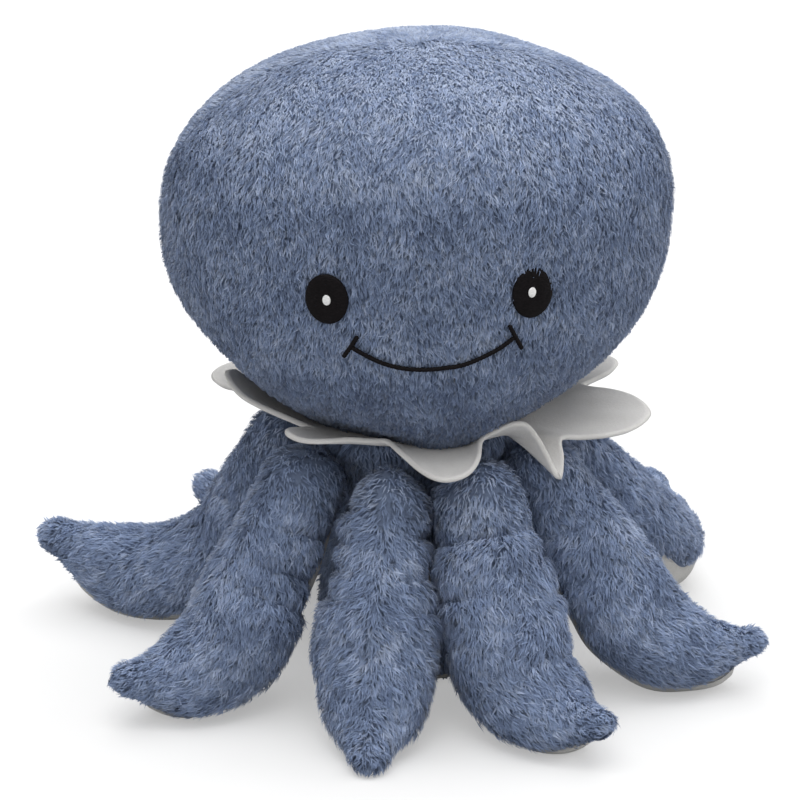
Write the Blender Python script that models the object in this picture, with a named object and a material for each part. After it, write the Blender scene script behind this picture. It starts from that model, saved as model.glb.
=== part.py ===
"""Plush octopus: a stuffed head on a small torso, a felt collar in the neck seam and eight stuffed arms.

Metres, +Z up. The origin is the middle of the base panel on the floor, and the face looks along -Y.
Right and left are the viewer's, looking at the face. Azimuths count from -Y towards +X.
"""

import math

import bmesh
import bpy
from mathutils import Matrix, Vector

# Fabrics and the clearance between pieces that touch
CLEARANCE = 0.0003
FILLING_CLEARANCE = 0.0009
PLUSH_THICKNESS = 0.0028
UNDERSIDE_THICKNESS = 0.0018
FELT_THICKNESS = 0.0017
STITCH_HEIGHT = 0.0011
HIGHLIGHT_HEIGHT = 0.0006

# Torso, between the base panel on the floor and the neck
BASE_RADIUS = 0.0320
BELLY_RADIUS = 0.0340
BELLY_HEIGHT = 0.018
WAIST_WRAP_DEG = 34.0
SHOULDER_WRAP_DEG = 40.0
NECK_PIVOT_HEIGHT = 0.055
TORSO_SIDES = 20
BELLY_STEPS = 2
GROOVE_STEPS = 5
DOME_STEPS = 4

# Head
NECK_HEIGHT = 0.092
NECK_RADIUS = 0.040
NECK_HOLE_RADIUS = 0.034
HEAD_WIDEST_HEIGHT = 0.157
HEAD_HALF_WIDTH = 0.0835
HEAD_HALF_DEPTH = 0.073
CROWN_HEIGHT = 0.2175
CROWN_FLAT_RADIUS = 0.008
CHEEK_POWER = 2.05
CROWN_POWER = 2.24
FACE_TURN_DEG = 4.0
HEAD_SIDES = 24
CHEEK_STEPS = 5
CROWN_STEPS = 6

# Embroidered face, on the front panel of the head
EYE_SPACING = 0.0648
EYE_HEIGHT = 0.1520
EYE_WIDTH = 0.0134
EYE_TALL = 0.0166
EYE_RINGS = 2
EYE_SIDES = 16
HIGHLIGHT_WIDTH = 0.0029
HIGHLIGHT_TALL = 0.0037
HIGHLIGHT_SIDES = 10
SMILE_WIDTH = 0.0505
SMILE_HEIGHT = 0.1288
SMILE_SAG = 0.0081
SMILE_STEPS = 12
THREAD_WIDTH = 0.0014
THREAD_SIDES = 6
TICK_LENGTH = 0.0088
TICK_LEAN_DEG = 29.0
TICK_SHARES = (-0.5, -0.17, 0.17, 0.5)

# Collar of felt, with eight lobes
LOBE_COUNT = 8
COLLAR_HOLE_RADIUS = 0.0270
COLLAR_RING_RADIUS = 0.0400
COLLAR_NOTCH_RADIUS = 0.0460
COLLAR_TIP_RADIUS = 0.0740
COLLAR_CURL = 0.0120
COLLAR_FIRST_AZIMUTH_DEG = 4.0
COLLAR_STEPS_PER_LOBE = 6
COLLAR_RADIAL_SHARES = (0.0, 1.0, 1.35, 1.7, 2.0)
CURL_POWER = 1.3
# Each lobe from the front one round by the right: how far it leans sideways, how far out it reaches,
# and how far its tip stands above the ring
LOBE_SWING_DEGREES = (2.0, 0.0, -12.0, -17.0, -8.0, 10.0, 5.0, 1.0)
LOBE_REACH_SHARES = (0.946, 0.824, 1.070, 1.108, 1.000, 1.080, 0.838, 0.851)
LOBE_CURL_SHARES = (-0.14, -1.40, 0.00, -0.06, 0.00, -0.34, 1.76, 0.78)

# Arms: a root ball on the hinge, a swollen stretch that leans down to the floor, a bend and a tip
ARM_ROOT_REACH = 0.0470
ARM_ROOT_DROP = 0.0210
ARM_ROOT_HEIGHT = NECK_HEIGHT - ARM_ROOT_DROP
ARM_ROOT_RADIUS = 0.0150
ARM_SWELL_RADIUS = 0.0190
ARM_TIP_RADIUS = 0.0072
ARM_LEAN_RUN = 0.0480
ARM_BEND_RUN = 0.0380
ARM_TIP_RUN = 0.0140
FLOOR_CUT = 0.0005
SETTLING_ROUNDS = 8
LINE_STEPS = 48
ARM_DEPTH_SHARE = 0.95
ARM_UNDERSIDE_SHARE = 0.88
ROUND_ROOT_SHARE = 0.3
# Half widths at equal steps from the root to the tip, as shares of the swell
SWELL_SHARES = (0.785, 0.905, 1.0, 1.0, 0.84, 0.38)
# Each arm from the front one round by the right: its name, its azimuth, how far it turns sideways by the tip,
# how steeply it leans down, how its tip slopes, all in degrees, and the shares of the bend's and tip's runs
ARM_POSE_SHARES = (
    ("front", -10.0, 3.0, 64.0, -22.0, 0.84, 0.75),
    ("front_right", 28.0, 20.0, 62.0, 12.0, 0.88, 0.75),
    ("right", 67.0, 18.0, 58.0, 16.0, 1.00, 0.85),
    ("back_right", 111.0, 69.0, 48.5, 30.0, 1.17, 0.81),
    ("back", 155.0, 12.0, 59.0, 14.0, 0.95, 0.90),
    ("back_left", 213.0, 42.0, 68.0, 52.0, 1.06, 0.94),
    ("left", 252.0, 4.0, 66.5, 24.6, 1.84, 1.09),
    ("front_left", 306.0, -12.0, 60.0, 10.0, 0.92, 0.85),
)
RING_SHARES = (0.0, 0.14, 0.27, 0.40, 0.52, 0.64, 0.76, 0.88, 1.0)
ROOT_RING_DEGREES = (50.0,)
TIP_RING_DEGREES = (48.0,)
# The section, as angles from the top. The seams of the underside lie halfway along the sides given after it
SECTION_DEGREES = (0.0, 48.0, 95.0, 140.0, 163.0, 197.0, 220.0, 265.0, 312.0)
SEAM_SIDES = (2, 6)
UNDERSIDE_RINGS = (2, 8)


def clear_scene():
    for old in list(bpy.data.objects):
        bpy.data.objects.remove(old, do_unlink=True)


def make_material(name, colour, roughness):
    material = bpy.data.materials.new(name)
    material.use_nodes = True
    shader = material.node_tree.nodes["Principled BSDF"]
    shader.inputs["Base Color"].default_value = (*colour, 1.0)
    shader.inputs["Roughness"].default_value = roughness
    shader.inputs["Metallic"].default_value = 0.0
    return material


def make_empty(name, location, turn=0.0, parent=None):
    """A guide that holds the pieces of one moving body, with its origin on the joint's axis."""
    empty = bpy.data.objects.new(name, None)
    bpy.context.scene.collection.objects.link(empty)
    empty.location = location
    empty.rotation_euler = (0.0, 0.0, turn)
    empty.parent = parent
    return empty


def make_object(name, mesh_builder, material, parent):
    """Turns a finished bmesh into a named, smooth-shaded object and frees the bmesh."""
    mesh = bpy.data.meshes.new(name)
    mesh_builder.to_mesh(mesh)
    mesh_builder.free()
    mesh.materials.append(material)
    mesh.shade_smooth()
    obj = bpy.data.objects.new(name, mesh)
    bpy.context.scene.collection.objects.link(obj)
    obj.parent = parent
    return obj


def thicken(obj, thickness, side):
    """Gives a cut panel its cloth thickness: side -1 grows inwards, 1 outwards, 0 both ways."""
    solidify = obj.modifiers.new("cloth", "SOLIDIFY")
    solidify.thickness = thickness
    solidify.offset = side
    solidify.use_even_offset = True


def blend(start, end, share):
    return start + (end - start) * share


def ease(share):
    share = min(max(share, 0.0), 1.0)
    return share * share * (3.0 - 2.0 * share)


def smooth_through(values, station):
    """The value at a station on a smooth curve through values, one for each whole station."""
    index = min(int(station), len(values) - 2)
    share = station - index
    before = values[max(index - 1, 0)]
    after = values[min(index + 2, len(values) - 1)]
    start, end = values[index], values[index + 1]
    bend = 2.0 * before - 5.0 * start + 4.0 * end - after
    swing = 3.0 * (start - end) + after - before
    return 0.5 * (2.0 * start + (end - before) * share + bend * share**2 + swing * share**3)


def face_outwards(builder):
    """Turns all faces of a closed or tube-shaped surface away from its middle."""
    bmesh.ops.recalc_face_normals(builder, faces=builder.faces)
    if builder.calc_volume(signed=True) < 0.0:
        bmesh.ops.reverse_faces(builder, faces=builder.faces)
    builder.normal_update()


def skin_rings(rings, start_pole=None, end_pole=None):
    """A bmesh of quads between equal closed rings, with a fan to a pole at either end that has one."""
    builder = bmesh.new()
    rows = [[builder.verts.new(point) for point in ring] for ring in rings]
    sides = len(rows[0])
    for row, following in zip(rows, rows[1:]):
        for side in range(sides):
            after = (side + 1) % sides
            builder.faces.new((row[side], row[after], following[after], following[side]))
    for pole, row in ((start_pole, rows[0]), (end_pole, rows[-1])):
        if pole is None:
            continue
        tip = builder.verts.new(pole)
        for side in range(sides):
            builder.faces.new((row[side], row[(side + 1) % sides], tip))
    face_outwards(builder)
    return builder


def turned_rings(profile, sides):
    """Rings from a profile of (radius, height), turned so that the Y = 0 plane halves two stretches."""
    angles = [math.tau * (side + 0.5) / sides - math.pi / 2.0 for side in range(sides)]
    return [
        [Vector((radius * math.sin(angle), -radius * math.cos(angle), height)) for angle in angles]
        for radius, height in profile
    ]


def turn_profile(profile, sides):
    """A bmesh turned round Z from a profile of (radius, height), with a pole where the radius is nothing."""
    start_pole = Vector((0.0, 0.0, profile[0][1])) if profile[0][0] == 0.0 else None
    end_pole = Vector((0.0, 0.0, profile[-1][1])) if profile[-1][0] == 0.0 else None
    turned = [point for point in profile if point[0] > 0.0]
    return skin_rings(turned_rings(turned, sides), start_pole, end_pole)


def shrink(builder, depth):
    """Moves every vertex inwards along its normal."""
    for vertex in builder.verts:
        vertex.co -= vertex.normal * depth
    builder.normal_update()


# Torso

def groove_radius():
    return ARM_ROOT_RADIUS + CLEARANCE


def groove_point(angle):
    """A point of the waist groove, the hollow that the arms' root balls turn in; angle 0 points inwards."""
    return (
        ARM_ROOT_REACH - groove_radius() * math.cos(angle),
        ARM_ROOT_HEIGHT + groove_radius() * math.sin(angle),
    )


def torso_profile():
    """Radius and height of the torso's cover, from the base edge up over the belly and waist to the shoulder."""
    base_height = UNDERSIDE_THICKNESS + CLEARANCE
    low_angle = -math.radians(WAIST_WRAP_DEG)
    low_radius, low_height = groove_point(low_angle)
    belly = []
    for step in range(BELLY_STEPS + 1):
        share = step / BELLY_STEPS
        height = blend(BELLY_HEIGHT, low_height, share)
        belly.append((blend(BELLY_RADIUS, low_radius, ease(share)), height))
    high_angle = math.radians(SHOULDER_WRAP_DEG)
    groove = [
        groove_point(blend(low_angle, high_angle, step / GROOVE_STEPS)) for step in range(1, GROOVE_STEPS + 1)
    ]
    return [(BASE_RADIUS, base_height), *belly, *groove]


def filling_profile():
    """The torso cover's profile moved inwards along its own normals to the outside of the filling."""
    outline = torso_profile()
    inner = []
    for index, (radius, height) in enumerate(outline):
        before = outline[max(index - 1, 0)]
        after = outline[min(index + 1, len(outline) - 1)]
        along = Vector((after[0] - before[0], after[1] - before[1])).normalized()
        depth = PLUSH_THICKNESS + FILLING_CLEARANCE
        inner.append((radius - along.y * depth, height + along.x * depth))
    inner[0] = (inner[0][0], outline[0][1])
    return inner


def dome_radius():
    """Radius of the filling's round top, about the neck pivot."""
    edge_radius, edge_height = filling_profile()[-1]
    return math.hypot(edge_radius, edge_height - NECK_PIVOT_HEIGHT)


def dome_profile():
    """The round top of the torso's filling, from the shoulder's inner edge to the middle."""
    edge_radius, edge_height = filling_profile()[-1]
    edge_angle = math.atan2(edge_radius, edge_height - NECK_PIVOT_HEIGHT)
    points = []
    for step in range(1, DOME_STEPS):
        angle = edge_angle * (1.0 - step / DOME_STEPS)
        height = NECK_PIVOT_HEIGHT + dome_radius() * math.cos(angle)
        points.append((dome_radius() * math.sin(angle), height))
    return [*points, (0.0, NECK_PIVOT_HEIGHT + dome_radius())]


def build_torso(plush, suede, stuffing):
    base = bmesh.new()
    bmesh.ops.create_cone(
        base,
        cap_ends=True,
        segments=TORSO_SIDES,
        radius1=BASE_RADIUS,
        radius2=BASE_RADIUS,
        depth=UNDERSIDE_THICKNESS,
        matrix=Matrix.Translation((0.0, 0.0, UNDERSIDE_THICKNESS / 2.0)),
    )
    make_object("base_panel", base, suede, None)

    cover = make_object("torso_cover", turn_profile(torso_profile(), TORSO_SIDES), plush, None)
    thicken(cover, PLUSH_THICKNESS, -1.0)

    outline = [(0.0, torso_profile()[0][1]), *filling_profile(), *dome_profile()]
    make_object("torso_filling", turn_profile(outline, TORSO_SIDES), stuffing, None)


# Head

def head_radius(height):
    """Half width of the head at a height: full cheeks that run in to the neck, and a flatter crown."""
    if height < HEAD_WIDEST_HEIGHT:
        drop = (HEAD_WIDEST_HEIGHT - height) / (HEAD_WIDEST_HEIGHT - NECK_HEIGHT)
        return NECK_RADIUS + (HEAD_HALF_WIDTH - NECK_RADIUS) * (1.0 - drop**CHEEK_POWER)
    rise = min((height - HEAD_WIDEST_HEIGHT) / (CROWN_HEIGHT - HEAD_WIDEST_HEIGHT), 1.0)
    return HEAD_HALF_WIDTH * (1.0 - rise**CROWN_POWER) ** (1.0 / CROWN_POWER)


def head_depth_share(height):
    """Depth of the head over its width: round at the neck, flatter from the cheeks up."""
    flattened = HEAD_HALF_DEPTH / HEAD_HALF_WIDTH
    rise = (height - NECK_HEIGHT) / (HEAD_WIDEST_HEIGHT - NECK_HEIGHT)
    return blend(1.0, flattened, ease(rise))


def face_point(across, height, outwards=0.0):
    """The point of the face at a place across and a height, moved outwards along the surface's normal."""
    def on_surface(x, z):
        share = min(abs(x) / head_radius(z), 1.0)
        return Vector((x, -head_radius(z) * head_depth_share(z) * math.sqrt(1.0 - share * share), z))

    step = CLEARANCE
    point = on_surface(across, height)
    along = on_surface(across + step, height) - point
    upwards = on_surface(across, height + step) - point
    return point + along.cross(upwards).normalized() * outwards


def head_builder():
    """The head's outer surface, from the neck edge to the small flat crown."""
    heights = [
        blend(NECK_HEIGHT, HEAD_WIDEST_HEIGHT, step / CHEEK_STEPS) for step in range(CHEEK_STEPS)
    ]
    crown_angle = math.acos((CROWN_FLAT_RADIUS / HEAD_HALF_WIDTH) ** (CROWN_POWER / 2.0))
    for step in range(CROWN_STEPS + 1):
        rise = math.sin(crown_angle * step / CROWN_STEPS) ** (2.0 / CROWN_POWER)
        heights.append(blend(HEAD_WIDEST_HEIGHT, CROWN_HEIGHT, rise))
    profile = [(head_radius(height), height) for height in heights]
    builder = turn_profile(profile, HEAD_SIDES)
    crown = [edge for edge in builder.edges if edge.is_boundary and edge.verts[0].co.z > HEAD_WIDEST_HEIGHT]
    bmesh.ops.edgeloop_fill(builder, edges=crown)
    for vertex in builder.verts:
        vertex.co.y *= head_depth_share(vertex.co.z)
    face_outwards(builder)
    return builder


def build_head_panel(name, front, plush, parent):
    """One half of the head's cover, cut along the side seam that runs over the crown."""
    builder = head_builder()
    side = -1.0 if front else 1.0
    bmesh.ops.bisect_plane(
        builder,
        geom=[*builder.verts, *builder.edges, *builder.faces],
        plane_co=(0.0, side * CLEARANCE / 2.0, 0.0),
        plane_no=(0.0, side, 0.0),
        clear_inner=True,
    )
    panel = make_object(name, builder, plush, parent)
    thicken(panel, PLUSH_THICKNESS, -1.0)


def build_head_filling(stuffing, parent):
    """The head's stuffing, closed flat at the neck and hollowed by the torso's round top."""
    builder = head_builder()
    shrink(builder, PLUSH_THICKNESS + FILLING_CLEARANCE)
    neck = [edge for edge in builder.edges if edge.is_boundary]
    stub = bmesh.ops.extrude_edge_only(builder, edges=neck)["geom"]
    for vertex in stub:
        if isinstance(vertex, bmesh.types.BMVert):
            vertex.co.z = 0.0
            vertex.co *= NECK_HOLE_RADIUS / vertex.co.length
            vertex.co.z = NECK_HEIGHT
    rim = [edge for edge in stub if isinstance(edge, bmesh.types.BMEdge)]
    bmesh.ops.edgeloop_fill(builder, edges=rim)
    bmesh.ops.recalc_face_normals(builder, faces=builder.faces)
    filling = make_object("head_filling", builder, stuffing, parent)

    cutter_builder = bmesh.new()
    bmesh.ops.create_uvsphere(
        cutter_builder,
        u_segments=TORSO_SIDES,
        v_segments=TORSO_SIDES,
        radius=dome_radius() + CLEARANCE,
    )
    cutter = make_object("dome_cutter", cutter_builder, stuffing, None)
    cutter.location = (0.0, 0.0, NECK_PIVOT_HEIGHT)
    cutter.hide_render = True
    cutter.display_type = "WIRE"
    hollow = filling.modifiers.new("dome_seat", "BOOLEAN")
    hollow.operation = "DIFFERENCE"
    hollow.object = cutter


def build_patch(name, centre, size, rings, sides, lift, height, material, parent):
    """An oval of stitches that follows the face: rings round its middle, raised by its stitch height."""
    builder = bmesh.new()
    middle = builder.verts.new(face_point(centre[0], centre[1], lift))
    inner = None
    for ring in range(1, rings + 1):
        share = ring / rings / 2.0
        outer = []
        for side in range(sides):
            angle = math.tau * side / sides
            across = centre[0] + size[0] * share * math.cos(angle)
            upwards = centre[1] + size[1] * share * math.sin(angle)
            outer.append(builder.verts.new(face_point(across, upwards, lift)))
        for side in range(sides):
            after = (side + 1) % sides
            if inner is None:
                builder.faces.new((middle, outer[side], outer[after]))
            else:
                builder.faces.new((inner[side], outer[side], outer[after], inner[after]))
        inner = outer
    bmesh.ops.recalc_face_normals(builder, faces=builder.faces)
    if builder.faces[:][0].normal.y > 0.0:
        bmesh.ops.reverse_faces(builder, faces=builder.faces)
    patch = make_object(name, builder, material, parent)
    thicken(patch, height, 1.0)


def thread_builder(points):
    """A closed thread of round section along the given points."""
    radius = THREAD_WIDTH / 2.0
    rings = []
    for index, point in enumerate(points):
        forward = points[min(index + 1, len(points) - 1)] - points[max(index - 1, 0)]
        across = forward.cross(Vector((0.0, 1.0, 0.0))).normalized()
        outwards = forward.cross(across).normalized()
        ring = []
        for side in range(THREAD_SIDES):
            angle = math.tau * side / THREAD_SIDES
            ring.append(point + across * radius * math.cos(angle) + outwards * radius * math.sin(angle))
        rings.append(ring)
    builder = skin_rings(rings)
    ends = [edge for edge in builder.edges if edge.is_boundary]
    bmesh.ops.holes_fill(builder, edges=ends, sides=THREAD_SIDES)
    bmesh.ops.recalc_face_normals(builder, faces=builder.faces)
    return builder


def build_smile(thread, parent):
    """The mouth line, sagging between its ends, with a short tick across each end, fused into one stitching."""
    lift = THREAD_WIDTH / 2.0 + 2.0 * CLEARANCE
    half = SMILE_WIDTH / 2.0
    lean = math.radians(TICK_LEAN_DEG)
    line = []
    for step in range(SMILE_STEPS + 1):
        share = 2.0 * step / SMILE_STEPS - 1.0
        line.append(face_point(half * share, SMILE_HEIGHT + SMILE_SAG * share * share, lift))
    smile = make_object("smile", thread_builder(line), thread, parent)
    for side in (-1.0, 1.0):
        tick = []
        for share in TICK_SHARES:
            across = side * (half - TICK_LENGTH * share * math.sin(lean))
            upwards = SMILE_HEIGHT + SMILE_SAG + TICK_LENGTH * share * math.cos(lean)
            tick.append(face_point(across, upwards, lift))
        cutter = make_object("tick_guide", thread_builder(tick), thread, parent)
        cutter.hide_render = True
        cutter.display_type = "WIRE"
        fuse = smile.modifiers.new("tick", "BOOLEAN")
        fuse.operation = "UNION"
        fuse.object = cutter


def build_head(plush, stuffing, thread, highlight, parent):
    build_head_panel("head_front", True, plush, parent)
    build_head_panel("head_back", False, plush, parent)
    build_head_filling(stuffing, parent)
    eye_size = (EYE_WIDTH, EYE_TALL)
    highlight_size = (HIGHLIGHT_WIDTH, HIGHLIGHT_TALL)
    above_eye = 2.0 * CLEARANCE + STITCH_HEIGHT
    for side, direction in (("left", -1.0), ("right", 1.0)):
        centre = (direction * EYE_SPACING / 2.0, EYE_HEIGHT)
        build_patch(
            "eye_" + side, centre, eye_size, EYE_RINGS, EYE_SIDES, CLEARANCE, STITCH_HEIGHT, thread, parent
        )
        build_patch(
            "eye_highlight_" + side,
            centre,
            highlight_size,
            1,
            HIGHLIGHT_SIDES,
            above_eye,
            HIGHLIGHT_HEIGHT,
            highlight,
            parent,
        )
    build_smile(thread, parent)


# Collar

def lobe_value(shares, turns):
    """A share that eases from each lobe's middle to the next; turns counts lobes from the first."""
    index = math.floor(turns)
    return blend(shares[index % LOBE_COUNT], shares[(index + 1) % LOBE_COUNT], ease(turns - index))


def collar_point(turns, radial):
    """A point of the collar's middle surface; radial runs from the hole to the ring at 1 and the edge at 2."""
    swing = lobe_value(LOBE_SWING_DEGREES, turns)
    azimuth = math.radians(COLLAR_FIRST_AZIMUTH_DEG + swing) + math.tau * turns / LOBE_COUNT
    off_middle = 2.0 * (turns - round(turns))
    tip = COLLAR_TIP_RADIUS * lobe_value(LOBE_REACH_SHARES, turns)
    edge = blend(COLLAR_NOTCH_RADIUS, tip, math.sqrt(max(1.0 - off_middle * off_middle, 0.0)))
    height = NECK_HEIGHT - CLEARANCE - FELT_THICKNESS / 2.0
    if radial <= 1.0:
        reach = blend(COLLAR_HOLE_RADIUS, COLLAR_RING_RADIUS, radial)
    else:
        reach = blend(COLLAR_RING_RADIUS, edge, radial - 1.0)
        curl = (reach - COLLAR_RING_RADIUS) / (COLLAR_TIP_RADIUS - COLLAR_RING_RADIUS)
        height += COLLAR_CURL * lobe_value(LOBE_CURL_SHARES, turns) * curl**CURL_POWER
    return Vector((reach * math.sin(azimuth), -reach * math.cos(azimuth), height - NECK_PIVOT_HEIGHT))


def build_collar(felt, parent):
    steps = LOBE_COUNT * COLLAR_STEPS_PER_LOBE
    rings = [
        [collar_point(step / COLLAR_STEPS_PER_LOBE, radial) for step in range(steps)]
        for radial in COLLAR_RADIAL_SHARES
    ]
    collar = make_object("collar", skin_rings(rings), felt, parent)
    thicken(collar, FELT_THICKNESS, 0.0)


# Arms

def arm_line(pose, lean_run):
    """Points and directions along one arm's middle line from its hinge, with the arm pointing along -Y."""
    _, _, turn, lean, tip_slope, bend_share, tip_share = pose
    bend_run = ARM_BEND_RUN * bend_share
    length = lean_run + bend_run + ARM_TIP_RUN * tip_share
    step = length / LINE_STEPS
    point = Vector((0.0, 0.0, 0.0))
    points, directions = [], []
    for index in range(LINE_STEPS + 1):
        bent = min(max((index * step - lean_run) / bend_run, 0.0), 1.0)
        slope = math.radians(blend(-lean, tip_slope, bent))
        heading = math.radians(turn) * ease(index / LINE_STEPS)
        direction = Vector(
            (math.cos(slope) * math.sin(heading), -math.cos(slope) * math.cos(heading), math.sin(slope))
        )
        points.append(point)
        directions.append(direction)
        point = point + direction * step
    return points, directions


def arm_frame(direction, heading_side):
    """The sideways and up directions of a section that looks along the given direction."""
    sideways = (heading_side - direction * heading_side.dot(direction)).normalized()
    return sideways, direction.cross(sideways)


def section_ring(centre, sideways, upwards, half_width, flatness):
    """One section of the arm: round where flatness is 0, and domed on top and flatter below where it is 1."""
    half_depth = half_width * blend(1.0, ARM_DEPTH_SHARE, flatness)
    below_share = blend(1.0, ARM_UNDERSIDE_SHARE, flatness)
    ring = []
    for degrees in SECTION_DEGREES:
        angle = math.radians(degrees)
        rise = half_depth * math.cos(angle) * (1.0 if math.cos(angle) > 0.0 else below_share)
        ring.append(centre + sideways * half_width * math.sin(angle) + upwards * rise)
    return ring


def halfway(first, second):
    return [(one + other) / 2.0 for one, other in zip(first, second)]


def arm_rings(pose, lean_run):
    """All sections of one arm, and the points of its two poles."""
    points, directions = arm_line(pose, lean_run)
    side = Vector((1.0, 0.0, 0.0))
    sideways, upwards = arm_frame(directions[0], side)
    rings = []
    for degrees in ROOT_RING_DEGREES:
        angle = math.radians(degrees)
        centre = points[0] - directions[0] * ARM_ROOT_RADIUS * math.sin(angle)
        rings.append(section_ring(centre, sideways, upwards, ARM_ROOT_RADIUS * math.cos(angle), 0.0))
    for share in RING_SHARES:
        index = round(share * LINE_STEPS)
        sideways, upwards = arm_frame(directions[index], side)
        width = ARM_SWELL_RADIUS * smooth_through(SWELL_SHARES, share * (len(SWELL_SHARES) - 1))
        rings.append(section_ring(points[index], sideways, upwards, width, ease(share / ROUND_ROOT_SHARE)))
    for degrees in TIP_RING_DEGREES:
        angle = math.radians(degrees)
        centre = points[-1] + directions[-1] * ARM_TIP_RADIUS * math.sin(angle)
        rings.append(section_ring(centre, sideways, upwards, ARM_TIP_RADIUS * math.cos(angle), 1.0))
    root_pole = points[0] - directions[0] * ARM_ROOT_RADIUS
    return rings, root_pole, points[-1] + directions[-1] * ARM_TIP_RADIUS


def resting_rings(pose):
    """The sections and poles of an arm whose underside is pressed flat by the floor."""
    lean_run = ARM_LEAN_RUN
    for _ in range(SETTLING_ROUNDS):
        rings, root_pole, tip_pole = arm_rings(pose, lean_run)
        lowest = min(point.z for ring in rings for point in ring)
        lean_run += (lowest + ARM_ROOT_HEIGHT + FLOOR_CUT) / math.sin(math.radians(pose[3]))
    for ring in rings:
        for point in ring:
            point.z = max(point.z, -ARM_ROOT_HEIGHT)
    return rings, root_pole, tip_pole


def seamed_rings(rings):
    """The same sections with points added halfway along the flat stretches where the underside's seams run."""
    first, last = UNDERSIDE_RINGS
    rings = list(rings)
    rings.insert(last + 1, halfway(rings[last], rings[last + 1]))
    rings.insert(first, halfway(rings[first - 1], rings[first]))
    seamed = []
    for ring in rings:
        ring = list(ring)
        for side in sorted(SEAM_SIDES, reverse=True):
            ring.insert(side + 1, (ring[side] + ring[side + 1]) / 2.0)
        seamed.append(ring)
    return seamed


def arm_builder(pose):
    """The arm's closed outer surface and the faces of it that the underside panel covers."""
    rings, root_pole, tip_pole = resting_rings(pose)
    rings = seamed_rings(rings)
    builder = skin_rings(rings, root_pole, tip_pole)
    builder.faces.ensure_lookup_table()
    sides = len(rings[0])
    first_side, last_side = SEAM_SIDES[0] + 1, SEAM_SIDES[1] + 2
    first_ring, last_ring = UNDERSIDE_RINGS[0], UNDERSIDE_RINGS[1] + 2
    underside = [
        builder.faces[ring * sides + side]
        for ring in range(first_ring, last_ring)
        for side in range(first_side, last_side)
    ]
    return builder, underside


def build_arm(pose, plush, suede, stuffing):
    """One arm in the frame of its hinge, which points along the arm's own azimuth."""
    name = "arm_" + pose[0]
    azimuth = math.radians(pose[1])
    location = (ARM_ROOT_REACH * math.sin(azimuth), -ARM_ROOT_REACH * math.cos(azimuth), ARM_ROOT_HEIGHT)
    hinge = make_empty(name + "_hinge", location, azimuth)

    builder, underside = arm_builder(pose)
    bmesh.ops.delete(builder, geom=underside, context="FACES")
    cover = make_object(name + "_cover", builder, plush, hinge)
    thicken(cover, PLUSH_THICKNESS, -1.0)

    builder, underside = arm_builder(pose)
    bmesh.ops.inset_region(builder, faces=underside, thickness=CLEARANCE, use_even_offset=True)
    others = [face for face in builder.faces if face not in set(underside)]
    bmesh.ops.delete(builder, geom=others, context="FACES")
    panel = make_object(name + "_underside", builder, suede, hinge)
    thicken(panel, UNDERSIDE_THICKNESS, -1.0)

    builder = skin_rings(*resting_rings(pose))
    shrink(builder, PLUSH_THICKNESS + FILLING_CLEARANCE)
    make_object(name + "_filling", builder, stuffing, hinge)


def main():
    clear_scene()
    plush = make_material("blue_plush", (0.130, 0.180, 0.300), 0.95)
    suede = make_material("grey_suede", (0.420, 0.410, 0.390), 0.90)
    felt = make_material("grey_felt", (0.500, 0.495, 0.480), 0.90)
    stuffing = make_material("polyester_filling", (0.850, 0.850, 0.830), 0.95)
    thread = make_material("black_thread", (0.012, 0.010, 0.010), 0.50)
    highlight = make_material("white_thread", (0.850, 0.850, 0.850), 0.50)

    build_torso(plush, suede, stuffing)
    neck = make_empty("neck_pivot", (0.0, 0.0, NECK_PIVOT_HEIGHT))
    build_collar(felt, neck)
    turn = make_empty("head_turn", (0.0, 0.0, 0.0), math.radians(FACE_TURN_DEG))
    build_head(plush, stuffing, thread, highlight, turn)
    for pose in ARM_POSE_SHARES:
        build_arm(pose, plush, suede, stuffing)


main()
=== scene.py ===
"""Plush octopus: pile, felt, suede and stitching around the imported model.

Metres, +Z up, the face looks along -Y. Right and left are the viewer's, looking at the face, and azimuths
count from -Y towards +X. Each stuffed piece is a backing surface on a grid with its pile grown on it as
thin tapered fibres. All shapes are numpy arrays, and what looks random comes from fixed seeds.
"""

import logging
import math
from dataclasses import dataclass, field
from enum import Enum

import bpy
import numpy as np
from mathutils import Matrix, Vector


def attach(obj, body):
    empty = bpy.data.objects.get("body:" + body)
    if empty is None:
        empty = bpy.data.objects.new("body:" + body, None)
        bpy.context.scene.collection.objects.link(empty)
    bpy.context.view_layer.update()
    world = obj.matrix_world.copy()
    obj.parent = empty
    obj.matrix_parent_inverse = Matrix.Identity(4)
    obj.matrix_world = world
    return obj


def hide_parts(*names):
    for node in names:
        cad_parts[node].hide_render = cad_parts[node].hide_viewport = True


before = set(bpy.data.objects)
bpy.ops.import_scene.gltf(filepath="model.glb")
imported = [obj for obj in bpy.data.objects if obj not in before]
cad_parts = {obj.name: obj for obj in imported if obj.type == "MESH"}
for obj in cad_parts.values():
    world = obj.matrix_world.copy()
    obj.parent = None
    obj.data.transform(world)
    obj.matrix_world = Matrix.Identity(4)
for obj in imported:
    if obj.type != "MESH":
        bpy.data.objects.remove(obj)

Array = np.ndarray
Colour = tuple[float, float, float]
log = logging.getLogger("plush_octopus")


# Arithmetic on whole arrays

def unit(vectors: Array) -> Array:
    """Each vector over its own length."""
    return vectors / np.maximum(np.linalg.norm(vectors, axis=-1, keepdims=True), 1e-12)


def dot(first: Array, second: Array) -> Array:
    """Dot products along the last axis, which is kept."""
    return np.sum(first * second, axis=-1, keepdims=True)


def mix(start: Array | float, end: Array | float, share: Array | float) -> Array | float:
    """The value a share of the way from start to end."""
    return start + (end - start) * share


def ease(share: Array | float) -> Array:
    """Three share squared less two share cubed, with share held between 0 and 1."""
    held = np.clip(share, 0.0, 1.0)
    return held * held * (3.0 - 2.0 * held)


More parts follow.
